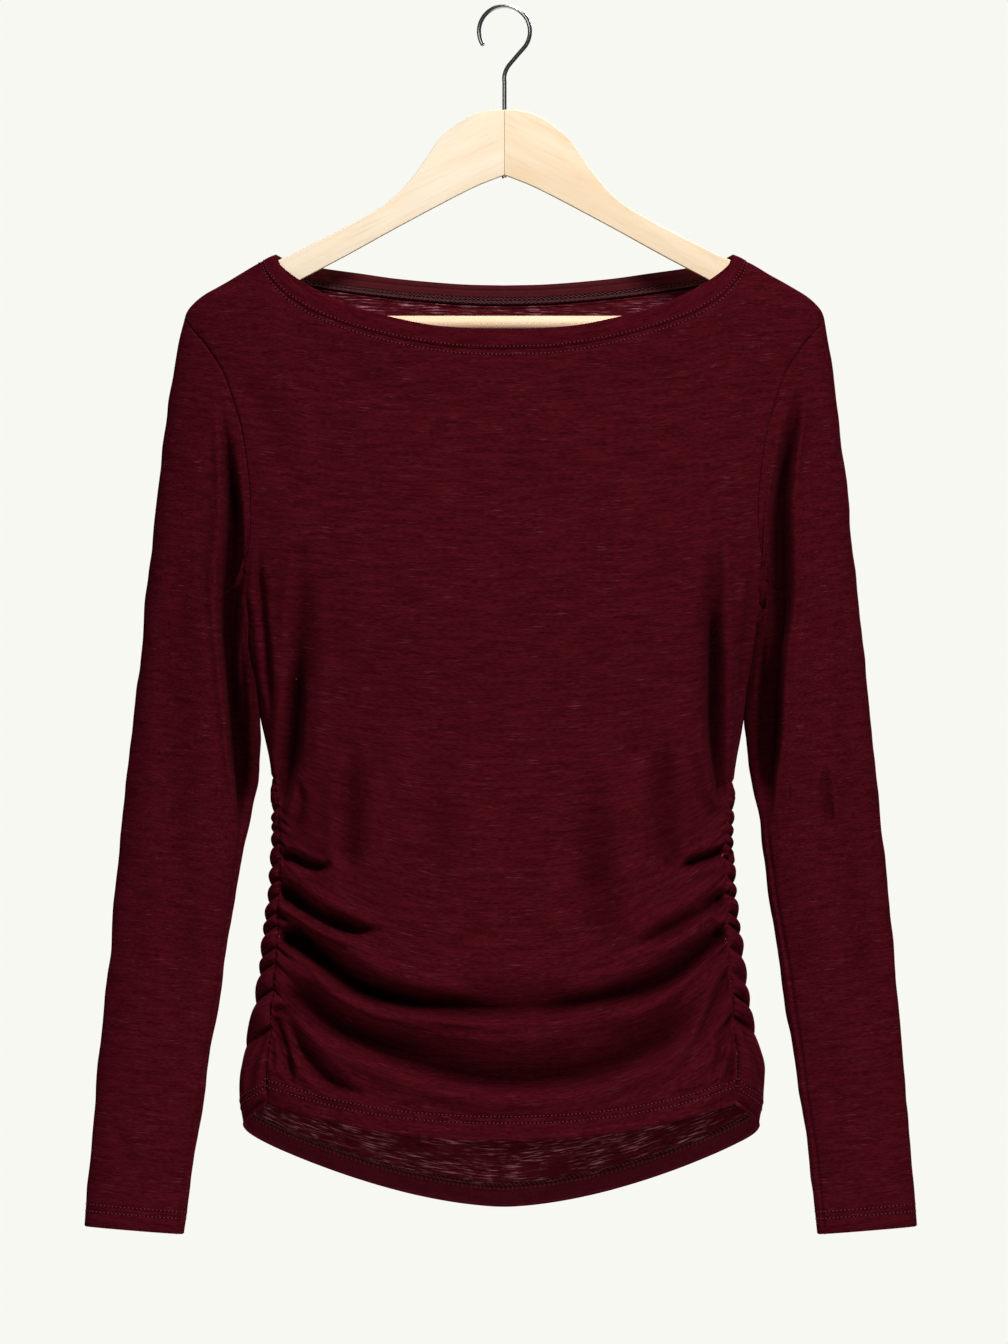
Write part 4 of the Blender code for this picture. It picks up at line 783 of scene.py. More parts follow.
def gather_push(grid, front):
    """How far the gathers push each point of a panel out, near its side seams."""
    most, strength = FRONT_LOBE if front else BACK_LOBE
    push = np.zeros(grid.shape[:2])
    for j, (left_down, right_down, number, phase) in enumerate(reversed(seam_rows())):
        for half, edge, side, down in ((slice(0, HALF_COLUMNS + 1), 0, LEFT, left_down),
                                       (slice(HALF_COLUMNS, None), -1, RIGHT, right_down)):
            if down < PUFF_START:
                continue
            distance = np.linalg.norm(grid[j, half] - grid[j, edge], axis=1)
            uneven = 0.4 * math.sin(down * 0.59 + side + (2.0 if front else 0.0))
            small = puff(down, side) * np.exp(-(distance / (PUFF_REACH * (1.0 + uneven))) ** 1.4)
            if number is None:
                push[j, half] += small
                continue
            lobe = distance / most * np.exp(1 - distance / most)
            large = (math.sin(math.pi * phase) ** 0.7 - 0.45) * GATHERS[number].rise * strength
            push[j, half] += large * lobe + small
    return push


def drift(grid, seed, size, height):
    """Slow unevenness of cloth, so that no stretch is a perfect form."""
    flat = grid.reshape(-1, 3)
    values = [noise.noise(Vector((x / size + seed, y / size, z / size))) for x, y, z in flat]
    return np.array(values).reshape(grid.shape[:2]) * height


def folded_panel(grid, normals, front):
    """The grid with its gathers, creases and slow unevenness, and how much painted shade each point
    gets.
    """
    places = np.stack((grid[:, :, 0].ravel(), -grid[:, :, 2].ravel()), axis=1)
    depth = sum(trough(places, crease) for crease in (FRONT_CREASES if front else BACK_CREASES))
    room = np.abs(grid[:, :, 1]) * (FRONT_ROOM if front else BACK_ROOM)
    depth = within(depth.reshape(grid.shape[:2]), room)
    to_side = np.minimum(np.linalg.norm(grid - grid[:, :1], axis=2),
                         np.linalg.norm(grid - grid[:, -1:], axis=2))
    to_top = np.linalg.norm(grid - grid[-1:], axis=2)
    depth = depth * smooth_step(to_side / SEAM_HOLD)
    calm = smooth_step(to_side / EDGE_CALM) * smooth_step(to_top / EDGE_CALM)
    gathers = gather_push(grid, front)
    push = gathers
    for size, height, front_seed, back_seed in PANEL_DRIFTS:
        push = push + drift(grid, front_seed if front else back_seed, size, height) * calm
    # painted shade: deep folds and the notches between the gathers get a darker colour
    shade = depth / FULL_PAINTED_SHADE + np.clip(-gathers, 0.0, GATHER_DEPTH) * GATHER_PAINTED_SHADE
    inward = unit(normals * np.array((SIDEWAYS, 1.0, 1.0)))
    return grid + normals * push[:, :, None] - inward * depth[:, :, None], shade


# ---------------------------------------------------------------- sleeves

def sleeve_rings(side, armhole):
    """Rings of a sleeve from cuff to armhole. The armhole loop runs over the front first."""
    half = armhole_turns()[::-1]
    turns = np.array(half + [360.0 - turn for turn in half[-2:0:-1]])
    name = "left" if side == LEFT else "right"
    sine = np.sin(np.radians(turns))
    cosine = np.cos(np.radians(turns))
    under = np.maximum(0.0, -cosine)

    def ellipse(share):
        outer_down = SHOULDER_POINT + (CUFF_OUTER_DOWN - SHOULDER_POINT) * share
        inner_down = UNDERARM + (CUFF_INNER_DOWN - UNDERARM) * share
        outer = np.array((side * table_value(ARMS, name + "_outer", outer_down), 0.0, -outer_down))
        inner = np.array((side * table_value(ARMS, name + "_inner", inner_down), 0.0, -inner_down))
        ring = (outer + inner) / 2 + np.outer(cosine, (outer - inner) / 2)
        front = table_value(ARM_DEPTHS, "front", share)
        back = table_value(ARM_DEPTHS, "back", share)
        depth = np.where(turns <= 180, front, back)
        ring[:, 1] = -depth * np.sign(sine) * np.abs(sine) ** ARM_ROUNDNESS
        tuck = under ** 2 * float(smooth_step(share / TUCK_GROWTH)
                                  * smooth_step((TUCK_END - share) / TUCK_FADING))
        ring[:, 0] -= side * SLEEVE_TUCKS[side] * tuck
        ring[:, 1] += SLEEVE_TUCK_BACK * tuck
        return ring

    carried = armhole - ellipse(0.0)
    release = SLEEVE_RELEASE + UNDERARM_RELEASE * under ** 2
    rings = []
    shares = [(k / SLEEVE_RINGS) ** SLEEVE_CROWDING for k in range(SLEEVE_RINGS, -1, -1)]
    for share in shares:
        hold = max(0.0, 1 - share / SLEEVE_BLEND) ** release
        rings.append(ellipse(share) + carried * hold[:, None])
    return np.array(rings), np.array(shares), turns


def folded_sleeve(side, armhole, creases):
    """A sleeve's rings with their folds, each point's painted shade, the plain normals and the
    turns.
    """
    rings, shares, turns = sleeve_rings(side, armhole)
    normals = grid_normals(rings, ring=True) * (1 if side == LEFT else -1)
    along, around = np.meshgrid(shares * SLEEVE_LENGTH, np.radians(turns) * SLEEVE_RADIUS,
                                indexing="ij")
    places = np.stack((along.ravel(), around.ravel()), axis=1)
    depth = np.zeros(len(places))
    for crease in creases:
        route = [(s * SLEEVE_LENGTH, math.radians(t) * SLEEVE_RADIUS) for s, t in crease.route]
        depth += trough(places, crease._replace(route=route))
    depth = depth.reshape(along.shape) * smooth_step((along - 5.0) / 24.0)
    facing = rings[:, -np.arange(len(turns)) % len(turns), 1]
    thickness = np.abs(facing - rings[:, :, 1])
    depth = within(depth, thickness * np.where(turns <= 180, FRONT_ROOM, BACK_ROOM) / 2)
    calm = smooth_step(along / SLEEVE_CALM) * smooth_step((SLEEVE_LENGTH - along) / SLEEVE_CALM)
    push = sum(drift(rings, seed + side, size, height) * calm
               for size, height, seed in SLEEVE_DRIFTS)
    # painted shade on the sleeve's side that faces the body, near the armhole
    beside = smooth_step((turns - 108) / 22.0) * smooth_step((250 - turns) / 30.0)
    painted_shade_beside_body = beside * smooth_step((240.0 - along) / 95.0) * smooth_step(along / 20.0)
    inward = unit(normals * np.array((SIDEWAYS, 1.0, LENGTHWAYS)))
    folded = rings + normals * push[:, :, None] - inward * depth[:, :, None]
    return folded, depth / FULL_PAINTED_SHADE + painted_shade_beside_body * BESIDE_BODY_PAINTED_SHADE, normals, turns


# ---------------------------------------------------------------- meshes

def add_object(name, data):
    made = bpy.data.objects.new(name, data)
    bpy.context.scene.collection.objects.link(made)
    return made


def add_mesh(name, points, faces, finishes, corners=None, chosen=None):
    """A smooth mesh in metres, with its UV layers given at each face's corners."""
    mesh = bpy.data.meshes.new(name)
    mesh.from_pydata((np.asarray(points) * MM).tolist(), [], [list(face) for face in faces])
    for layer_name, values in (corners or {}).items():
        layer = mesh.uv_layers.new(name=layer_name)
        layer.data.foreach_set("uv", np.asarray(values, np.float32).ravel())
    for finish in finishes:
        mesh.materials.append(finish)
    if chosen is not None:
        mesh.polygons.foreach_set("material_index", chosen)
    mesh.shade_smooth()
    return add_object(name, mesh)


def run_lengths(grid, axis):
    """Distance travelled along an axis of a grid of points."""
    steps = np.linalg.norm(np.diff(grid, axis=axis), axis=2)
    shape = list(grid.shape[:2])
    shape[axis] = 1
    return np.concatenate((np.zeros(shape), np.cumsum(steps, axis=axis)), axis=axis)


def corner_values(values, turn_back):
    """A grid of (u, v) values at the four corners of each face.

    Where a ring's cloth is turned back, u runs on to below 0 past its half."""
    corners = np.stack((values[:-1, :-1], values[:-1, 1:], values[1:, 1:], values[1:, :-1]),
                       axis=2)
    if turn_back:
        half = corners.shape[1] // 2
        whole = values[:, -1:, 0]
        corners[:, half:, 0:2, 0] -= whole[:-1, :, None]
        corners[:, half:, 2:4, 0] -= whole[1:, :, None]
    return corners.reshape(-1, 4, 2)


def add_wall(name, outer, inner, ring, flip, free_row, finishes, maps):
    """A closed wall of cloth between two grids, with the free edge of one row rounded."""
    rows, columns = outer.shape[:2]
    count = rows * columns
    runs = columns if ring else columns - 1
    points = [outer.reshape(-1, 3), inner.reshape(-1, 3)]
    j, i = np.meshgrid(np.arange(rows - 1), np.arange(runs), indexing="ij")
    k = (i + 1) % columns
    quads = np.stack((j * columns + i, j * columns + k,
                      (j + 1) * columns + k, (j + 1) * columns + i), axis=-1).reshape(-1, 4)
    if ring:
        maps = {key: np.concatenate((values, values[:, :1]), axis=1)
                for key, values in maps.items()}
        around = run_lengths(np.concatenate((outer, outer[:, :1]), axis=1), 1)
        maps["cloth"][:, :, 0] = around * MM
    faces = [quads, (quads + count)[:, ::-1]]
    chosen = [np.zeros(len(quads), int), np.ones(len(quads), int)]
    corners = {}
    for key, values in maps.items():
        first = corner_values(values, ring and key == "cloth")
        # the painted fold shade is kept off the inner faces
        corners[key] = [first, first[:, ::-1] * (0.0 if key == "fold" else 1.0)]

    def add_strip(made, starts, stops, backwards):
        """Faces over an edge of the wall. Each map's values at both ends are picked by index."""
        faces.append(made[:, ::-1] if backwards else made)
        for key, values in maps.items():
            places = np.stack((values[starts], values[stops]), axis=1)[:, [0, 1, 1, 0]]
            corners[key].append(places[:, ::-1] if backwards else places)
        chosen.append(np.zeros(len(made), int))

    total = 2 * count
    low = np.arange(runs)
    high = (low + 1) % columns
    for row, beside in ((0, 1), (rows - 1, rows - 2)):
        outside = np.arange(columns) + row * columns
        levels = [outside, outside + count]
        if row == free_row % rows:
            away = unit(outer[row] - outer[beside])
            thickness = np.linalg.norm(outer[row] - inner[row], axis=1, keepdims=True)
            points.append((outer[row] + inner[row]) / 2 + away * thickness * 0.45)
            levels.insert(1, np.arange(columns) + total)
            total += columns
        for lower, upper in zip(levels, levels[1:]):
            made = np.stack((lower[low], lower[high], upper[high], upper[low]), axis=-1)
            add_strip(made, (row, low), (row, low + 1), row == 0)
    if not ring:
        rising = np.arange(rows - 1)
        for column in (0, columns - 1):
            foot = rising * columns + column
            head = foot + columns
            made = np.stack((foot, head, head + count, foot + count), axis=-1)
            add_strip(made, (rising, column), (rising + 1, column), column != 0)
    faces = np.concatenate(faces)
    corners = {key: np.concatenate(values) for key, values in corners.items()}
    if flip:
        faces = faces[:, ::-1]
        corners = {key: values[:, ::-1] for key, values in corners.items()}
    return add_mesh(name, np.concatenate(points), faces, finishes, corners, np.concatenate(chosen))


# ---------------------------------------------------------------- stitches

def line_at(grid, normals, distance, from_row_zero, columns):
    """Points and normals at a distance from a grid's first or last row, on some columns."""
    if not from_row_zero:
        grid = grid[::-1]
        normals = normals[::-1]
    lengths = run_lengths(grid, 0)
    points = []
    turned = []
    for i in columns:
        k = max(1, int(np.searchsorted(lengths[:, i], distance)))
        share = (distance - lengths[k - 1, i]) / (lengths[k, i] - lengths[k - 1, i])
        points.append(grid[k - 1, i] + (grid[k, i] - grid[k - 1, i]) * share)
        turned.append(normals[k - 1, i] + (normals[k, i] - normals[k - 1, i]) * share)
    return np.array(points), unit(np.array(turned))


def resampled(points, normals, pitch, closed=False, shift=0.5):
    """Points, normals and directions at even steps along a line."""
    if closed:
        points = np.concatenate((points, points[:1]))
        normals = np.concatenate((normals, normals[:1]))
    lengths = path_lengths(points)
    count = max(2, int(round(lengths[-1] / pitch)))
    at = (np.arange(count) + shift) * lengths[-1] / count

    def values_at(where, values):
        return np.stack([np.interp(where, lengths, values[:, k]) for k in range(3)], axis=1)

    along = unit(values_at(at + 0.4, points) - values_at(at - 0.4, points))
    return values_at(at, points), unit(values_at(at, normals)), along


def add_threads(name, ends, finishes, radius=STITCH_RADIUS):
    """Short round threads between pairs of ends, each given as (start, end, normal).
    With two finishes, the second one is for the last half of them."""
    starts = np.concatenate([e[0] for e in ends])
    stops = np.concatenate([e[1] for e in ends])
    normals = np.concatenate([e[2] for e in ends])
    along = stops - starts
    across = unit(np.cross(along, normals))
    normals = unit(np.cross(across, along))
    rings = []
    for share, size in ((0.12, 0.8), (0.5, 1.0), (0.88, 0.8)):
        centre = starts + along * share
        for turn in (45, 135, 225, 315):
            c = math.cos(math.radians(turn)) * radius * size
            s = math.sin(math.radians(turn)) * radius * size
            rings.append(centre + across * c + normals * s)
    points = np.stack([starts] + rings + [stops], axis=1)
    faces = []
    for i in range(4):
        k = (i + 1) % 4
        faces.append((0, 1 + k, 1 + i))
        faces.append((13, 9 + i, 9 + k))
        for low in (1, 5):
            faces.append((low + i, low + k, low + 4 + k, low + 4 + i))
    count = len(starts)
    all_faces = []
    for number in range(count):
        base = number * 14
        all_faces += [tuple(base + v for v in face) for face in faces]
    chosen = np.arange(len(all_faces)) * len(finishes) // len(all_faces)
    return add_mesh(name, points.reshape(-1, 3), all_faces, finishes, None, chosen)


def add_needle_rows(name, lines, closed, finishes):
    """Rows of stitches along lines, with a near-black thread between each two as painted shade in
    the needle holes.
    """
    ends = []
    for shift, length, lift in ((0.5, STITCH_LENGTH, STITCH_LIFT), (0.0, HOLE_LENGTH, 0.0)):
        for points, normals in lines:
            places, turned, along = resampled(points, normals, STITCH_PITCH, closed, shift)
            half = along * length / 2
            raised = places + turned * lift
            ends.append((raised - half, raised + half, turned))
    return add_threads(name, ends, finishes)


def cover_stitches(first, second, normals, pitch, lift, closed=False):
    """The chevrons of a cover stitch between two lines on the cloth's inside."""
    a, turned, along = resampled(first, normals, pitch, closed)
    b, _, _ = resampled(second, normals, pitch, closed)
    count = min(len(a), len(b))
    a, b, turned, along = a[:count], b[:count], turned[:count], along[:count]
    raised = turned * lift
    middle = (a + b) / 2 + along * pitch * 0.55 + raised * 1.3
    return [(a + raised, middle, turned), (middle, b + raised, turned)]


# ---------------------------------------------------------------- finishes

def new_material(name):
    made = bpy.data.materials.new(name)
    made.use_nodes = True
    return made, made.node_tree, made.node_tree.nodes["Principled BSDF"]


def fill(tree, target, values):
    """Link a node's inputs to outputs, or set them to numbers, vectors and colours."""
    for key, value in values.items():
        socket = target.inputs[key]
        if isinstance(value, bpy.types.NodeSocket):
            tree.links.new(value, socket)
        else:
            socket.default_value = (*value, 1.0) if socket.type == "RGBA" else value


def node(tree, kind, inputs, output=0, **settings):
    """Add a node, set it up, and give one of its outputs."""
    made = tree.nodes.new("ShaderNode" + kind)
    for key, value in settings.items():
        setattr(made, key, value)
    fill(tree, made, inputs)
    return made.outputs[output]


def parts_of(tree, vector):
    """The X, Y and Z outputs of a vector."""
    x = node(tree, "SeparateXYZ", {0: vector})
    return [x] + [x.node.outputs[key] for key in "YZ"]


def maths(tree, operation, *values, clamp=False):
    return node(tree, "Math", dict(enumerate(values)), operation=operation, use_clamp=clamp)


def between(tree, value, low, high):
    """0 below low, 1 above high, with a smooth rise."""
    return node(tree, "MapRange", {"Value": value, "From Min": low, "From Max": high},
                interpolation_type="SMOOTHSTEP")


def mixed(tree, share, first, second):
    return node(tree, "Mix", {0: share, 6: first, 7: second}, output=2, data_type="RGBA")


def stretched_noise(tree, place, scale, detail, seed):
    """Noise on the cloth, scaled apart along (scale[0]) and up (scale[1]), for millimetres."""
    stretched = node(tree, "Mapping", {"Vector": place, "Scale": (scale[0], scale[1], 1.0),
                                       "Location": (seed, seed * 0.7, seed)})
    return node(tree, "TexNoise", {"Vector": stretched, "Scale": 1.0, "Detail": detail,
                                   "Roughness": 0.6}, output="Fac")


def add_bump(tree, shader, height, strength, distance):
    bump = node(tree, "Bump", {"Height": height, "Strength": strength, "Distance": distance})
    fill(tree, shader, {"Normal": bump})


def jersey(name, deep, mid, light, slubs, hem_tones, seed, painted_edge_shade=False):
    """Slub jersey: uneven yarns lie along the courses, over a fine V-shaped knit."""
    made, tree, shader = new_material(name)
    times = partial(maths, tree, "MULTIPLY")
    plus = partial(maths, tree, "ADD")
    minus = partial(maths, tree, "SUBTRACT")

    def scaled(vector, scale):
        return node(tree, "VectorMath", {0: vector, "Scale": scale}, operation="SCALE")

    cloth = node(tree, "UVMap", {}, label="cloth, in metres", uv_map="cloth")
    edge = node(tree, "UVMap", {}, label="distance to the edges, in metres", uv_map="edge")
    # the "fold" map holds painted shade: how much darker the colour is drawn in folds, gathers and
    # beside the body
    fold = node(tree, "UVMap", {}, label="depth in a fold", uv_map="fold")
    place = scaled(cloth, 1 / MM)
    across, up, _ = parts_of(tree, place)
    _, above_hem, _ = parts_of(tree, edge)
    painted_fold_shade, _, _ = parts_of(tree, fold)

    fine, long, patch, slub = (
        stretched_noise(tree, place, scale, 3.0, seed + shift)
        for scale, shift in (((0.22, 1.1), 0), ((0.04, 0.33), 7), ((0.035, 0.07), 13),
                             ((0.07, 1.0), 21)))
    tone = between(tree, plus(times(fine, 0.55), times(long, 0.45)), 0.3, 0.7)
    slub = between(tree, slub, 0.627 - 0.13 * slubs, 0.80 - 0.10 * slubs)
    patch = between(tree, patch, 0.44 - 0.085 * slubs, 0.68 - 0.06 * slubs)
    yarn = times(times(slub, patch), slubs, clamp=True)
    colour = mixed(tree, yarn, mixed(tree, tone, deep, mid), light)
    if hem_tones:
        # the hem is turned up, so its inside shows the cloth's outer face
        past_fold = between(tree, above_hem, 0.0126, 0.0134)
        colour = mixed(tree, past_fold, mixed(tree, tone, *hem_tones), colour)
    # painted shade: the colour is drawn darker where the "fold" map says so
    painted_shading = minus(1.0, times(painted_fold_shade, FOLD_PAINTED_SHADE))
    if painted_edge_shade:
        # painted shade: dark behind the chevrons, and darkest at the seam below them
        behind = times(between(tree, above_hem, 0.0060, 0.0068), 0.68)
        painted_shading = times(painted_shading, plus(behind, 0.32))
        painted_shading = times(painted_shading, between(tree, above_hem, 0.0004, 0.0016))

    wale = maths(tree, "PINGPONG", across, 0.45)
    course = maths(tree, "SINE", times(plus(up, times(wale, 0.8)), 2 * math.pi / 0.8))
    knit = plus(times(course, 0.25), times(wale, 1.2))
    height = plus(times(knit, 0.22), times(fine, 0.9))
    height = plus(height, times(yarn, 0.35))
    if hem_tones:
        pucker = times(stretched_noise(tree, place, (0.42, 0.03), 2.0, seed + 33), 7.0)
        height = plus(height, times(pucker, minus(1.0, past_fold)))
    for distance in HEM_STITCHES:
        away = maths(tree, "ABSOLUTE", minus(above_hem, distance * MM))
        groove = minus(1.0, between(tree, away, 0.0003, 0.0013))
        height = minus(height, times(groove, 1.1))
    add_bump(tree, shader, height, 0.5, 0.00035)
    fill(tree, shader, {"Base Color": scaled(colour, painted_shading), "Roughness": 0.85,
                        "Specular IOR Level": 0.0, "Sheen Weight": 0.05,
                        "Sheen Roughness": 0.4, "Sheen Tint": (0.90, 0.12, 0.20)})
    made.diffuse_color = (*mid, 1.0)
    return made


def plain(name, colour, roughness, metallic=0.0, specular=0.3):
    made, tree, shader = new_material(name)
    fill(tree, shader, {"Base Color": colour, "Roughness": roughness, "Metallic": metallic,
                        "Specular IOR Level": specular})
    made.diffuse_color = (*colour, 1.0)
    return made


def pale_wood(name, lightest, middle, grain, slope, seed):
    """Pale close-grained wood, with its grain along the arm."""
    made, tree, shader = new_material(name)
    place = node(tree, "TexCoord", {}, output="Object")
    turned = node(tree, "Mapping", {"Vector": place, "Rotation": (0.0, math.radians(slope), 0.0)})
    across, depth, up = parts_of(tree, turned)
    flat = node(tree, "CombineXYZ", {"X": across, "Y": up, "Z": depth})
    broad = stretched_noise(tree, flat, (14.0, 90.0), 3.0, seed)
    lines = stretched_noise(tree, flat, (22.0, 420.0), 3.0, seed + 4)
    pores = stretched_noise(tree, flat, (70.0, 900.0), 1.0, seed + 9)
    tone = mixed(tree, between(tree, broad, 0.3, 0.7), lightest, middle)
    for marks, low, high, strength in ((lines, 0.5, 0.75, 0.35), (pores, 0.68, 0.8, 0.3)):
        share = maths(tree, "MULTIPLY", between(tree, marks, low, high), strength)
        tone = mixed(tree, share, tone, grain)
    add_bump(tree, shader, lines, 0.25, 0.0002)
    fill(tree, shader, {"Base Color": tone, "Roughness": 0.42, "Specular IOR Level": 0.35})
    made.diffuse_color = (*middle, 1.0)
    return made


# ---------------------------------------------------------------- the top

SEAM_SINK = 1.3
BESIDE_SEAM = 0.25        # share of it for the points beside the seam
BAND_SINK = 0.25
HEM_FOLD = 13.0           # depth of the turned hem, inside
TURNED = 0.8              # how much it stands in from the cloth
ALLOWANCE = 0.9           # the same for the seam allowances
NECK_FOLD = 5.2           # depth of the neck seam's allowance
BAND_BULGE = 0.5


def distances(grid):
    """Distance of each point below the grid's last row and above its first, in metres."""
    above = run_lengths(grid, 0)
    below = above[-1:] - above
    return np.stack((below, above), axis=2) * MM


def panel_places(grid):
    """Each point's place on the flat panel, in metres, with its courses level."""
    middle = grid.shape[1] // 2
    under = underarm_row(grid)
    along = run_lengths(grid, 1)
    along = along - along[:, middle:middle + 1]
    up = np.repeat(run_lengths(grid, 0)[:, middle:middle + 1], grid.shape[1], axis=1)
    # the rows of the two halves don't quite meet at the middle
    share = np.abs(np.arange(grid.shape[1]) - middle) / middle
    for half, beside in ((slice(0, middle), middle - 1), (slice(middle + 1, None), middle + 1)):
        step = grid[:, beside, 2] - grid[:, middle, 2]
        up[:, half] += step[:, None] * (1 - smooth_step(share[half]))
    up[under:] = up[under] + grid[under:, :, 2] - grid[under, :, 2]
    return np.stack((along, up), axis=2) * MM


def sleeve_places(rings, side):
    """Each point's place on the flat sleeve, in metres, with its courses across the arm."""
    length = np.array((-side * SLEEVE_LEAN, 0.0, 1.0))
    up = rings @ (length / np.linalg.norm(length))
    return np.stack((run_lengths(rings, 1), up), axis=2) * MM


def band_places(band):
    up = np.repeat(run_lengths(band, 0)[:, :1], band.shape[1], axis=1)
    return np.stack((run_lengths(band, 1), up), axis=2) * MM


def painted_shade_map(shade):
    """How much painted shade each point gets, from 0 to 1."""
    return np.stack((np.clip(shade, 0.0, 1.0) ** PAINTED_SHADE_POWER, shade * 0.0), axis=2)


def sink(shown, normals, where, depth, tip):
    """Lowers the seams' points, but not at a shoulder's tip, where the hanger is close below."""
    away = np.linalg.norm(shown[where] - tip, axis=-1)
    shown[where] -= normals[where] * (depth * smooth_step((away - 6.0) / 24.0))[:, None]


def underarm_ways(rings, normals, turns):
    """A sleeve's ways out. At the underarm, where its cloth turns back, they stay level."""
    level = np.zeros(rings.shape)
    level[:, :, 1] = np.where(turns <= 180, -1.0, 1.0)
    from_inner = np.abs(turns - 180)
    under = smooth_step((from_inner - 2.0) / 12.0) * smooth_step((75.0 - from_inner) / 15.0)
    near = smooth_step((130.0 - run_lengths(rings[::-1], 0)[::-1]) / 40.0) * under
    near[-1] = 0.0
    return unit(normals * (1 - near)[:, :, None] + level * near[:, :, None])


def inner_face(outer, normals, plain_normals, ring, neck_allowance=0.0):
    """The inner face of a wall, thicker at its turned hem and its seam allowances.

    It comes closer to the outer face in the steep sides of folds, where the two would cross."""
    above = run_lengths(outer, 0)
    below = above[-1:] - above
    steepness = (normals * plain_normals).sum(axis=2)
    thick = CLOTH * (0.6 + 0.4 * smooth_step((steepness - 0.25) / 0.5))
    thick[-3:] += ALLOWANCE
    if not ring:
        thick[:, :3] += ALLOWANCE
        thick[:, -3:] += ALLOWANCE
    thick += TURNED * (1 - smooth_step((above - HEM_FOLD) / 1.2 + 0.5))
    thick += neck_allowance * (1 - smooth_step((below - NECK_FOLD) / 1.2 + 0.5))
    return outer - normals * thick[:, :, None]


def share_normals(first, first_at, second, second_at):
    first[first_at], second[second_at] = blend_normals(first[first_at], second[second_at])


def cloth_maps(places, grid, shade):
    # the "fold" map carries the painted shade
    return {"cloth": places, "edge": distances(grid), "fold": painted_shade_map(shade)}


Panel = namedtuple("Panel", "name grid normals plain_normals shade flip")


def add_sleeve(made, side, name, creases, panels, finishes, needle):
    """A sleeve and its stitches, set in the armhole that the front and the back panel leave."""
    front, back = panels
    under = underarm_row(front.grid)
    rows = len(armhole_turns()) - 1
    column = 0 if side == LEFT else -1
    loop = np.concatenate((front.grid[:under - 1:-1, column], back.grid[under + 1:-1, column]))
    rings, shade, plain_normals, turns = folded_sleeve(side, loop, creases)
    rings[-1] = loop
    normals = grid_normals(rings, ring=True) * (1 if side == LEFT else -1)
    for i in range(len(loop)):
        panel, row = (front, under + rows - i) if i <= rows else (back, under + i - rows)
        share_normals(panel.normals, (row, column), normals, (-1, i))
    back.normals[-1, column] = front.normals[-1, column]
    inner = inner_face(rings, underarm_ways(rings, normals, turns), plain_normals, True)
    shown = rings.copy()
    sink(shown, normals, (-1, slice(None)), SEAM_SINK, loop[0])
    sink(shown, normals, (-2, slice(None)), SEAM_SINK * BESIDE_SEAM, loop[0])
    made[name] = add_wall(name + "_cloth", shown, inner, True, side == RIGHT, 0, finishes,
                          cloth_maps(sleeve_places(rings, side), rings, shade))
    stitch_cuff(name, rings, normals, made, needle)


def add_panel(made, panel, finishes, needle, inner_thread):
    """The front or the back panel, and its stitches."""
    name, grid, normals, plain_normals, shade, flip = panel
    inner = inner_face(grid, normals, plain_normals, False, ALLOWANCE)
    shown = grid.copy()
    for column, beside in ((0, 1), (-1, -2)):
        tip = grid[-1, column]
        sink(shown, normals, (slice(None), column), SEAM_SINK, tip)
        sink(shown, normals, (slice(None), beside), SEAM_SINK * BESIDE_SEAM, tip)
    sink(shown, normals, (-1, slice(1, HALF_COLUMNS)), SEAM_SINK, grid[-1, 0])
    sink(shown, normals, (-1, slice(HALF_COLUMNS, -1)), SEAM_SINK, grid[-1, -1])
    made[name] = add_wall(name + "_cloth", shown, inner, False, flip, 0, finishes,
                          cloth_maps(panel_places(grid), grid, shade))
    stitch_panel(name, grid, normals, inner, made, needle, inner_thread)


def add_band(made, band, normals, finishes, needle, inner_thread):
    """The neckband and its stitches."""
    inner = band - normals * FOLDED_CLOTH
    shown = band.copy()
    shown[0] -= normals[0] * BAND_SINK
    made["neckband"] = add_wall("neckband_cloth", shown, inner, True, False, -1, finishes,
                                cloth_maps(band_places(band), band, np.zeros(band.shape[:2])))
    columns = range(band.shape[1])
    line = line_at(band, normals, BAND_STITCH, True, columns)
    made["neckband_stitches"] = add_needle_rows("neckband_stitches", [line], True, needle)
    (above, turned), (below, _) = (line_at(inner, normals, distance, True, columns)
                                   for distance in BAND_CHEVRONS)
    chevrons = cover_stitches(above, below, -turned, CHEVRON_PITCH, BAND_CHEVRON_LIFT, closed=True)
    made["neckband_cover_stitches"] = add_threads("neckband_cover_stitches", chevrons,
                                                  [inner_thread], BAND_CHEVRON_RADIUS)


def build_garment(finishes, band_finishes, needle, inner_thread):
    """All pieces of cloth and thread, by name. Pieces that meet at a seam share its points."""
    front = base_grid(True)
    back = base_grid(False)
    plain_front, plain_back = panel_normals(front, back)
    front, front_shade = folded_panel(front, plain_front, True)
    back, back_shade = folded_panel(back, plain_back, False)
    for seam in shared_seams(front):
        front[seam] = back[seam] = (front[seam] + back[seam]) / 2
    front_normals, back_normals = panel_normals(front, back)

    band, band_normals = neckband(front, back)
    half = 2 * (HALF_COLUMNS - SHOULDER_COLUMNS)
    for i in range(half + 1):
        share_normals(front_normals, (-1, i + SHOULDER_COLUMNS), band_normals, (0, i))
    for i in range(1, half):
        share_normals(back_normals, (-1, -SHOULDER_COLUMNS - 1 - i), band_normals, (0, half + i))

    panels = (Panel("front_panel", front, front_normals, plain_front, front_shade, False),
              Panel("back_panel", back, back_normals, plain_back, back_shade, True))
    made = {}
    add_sleeve(made, LEFT, "sleeve_left", LEFT_SLEEVE_CREASES, panels, finishes, needle)
    add_sleeve(made, RIGHT, "sleeve_right", RIGHT_SLEEVE_CREASES, panels, finishes, needle)
    for panel in panels:
        add_panel(made, panel, finishes, needle, inner_thread)
    add_band(made, band, band_normals, band_finishes, needle, inner_thread)
    return made


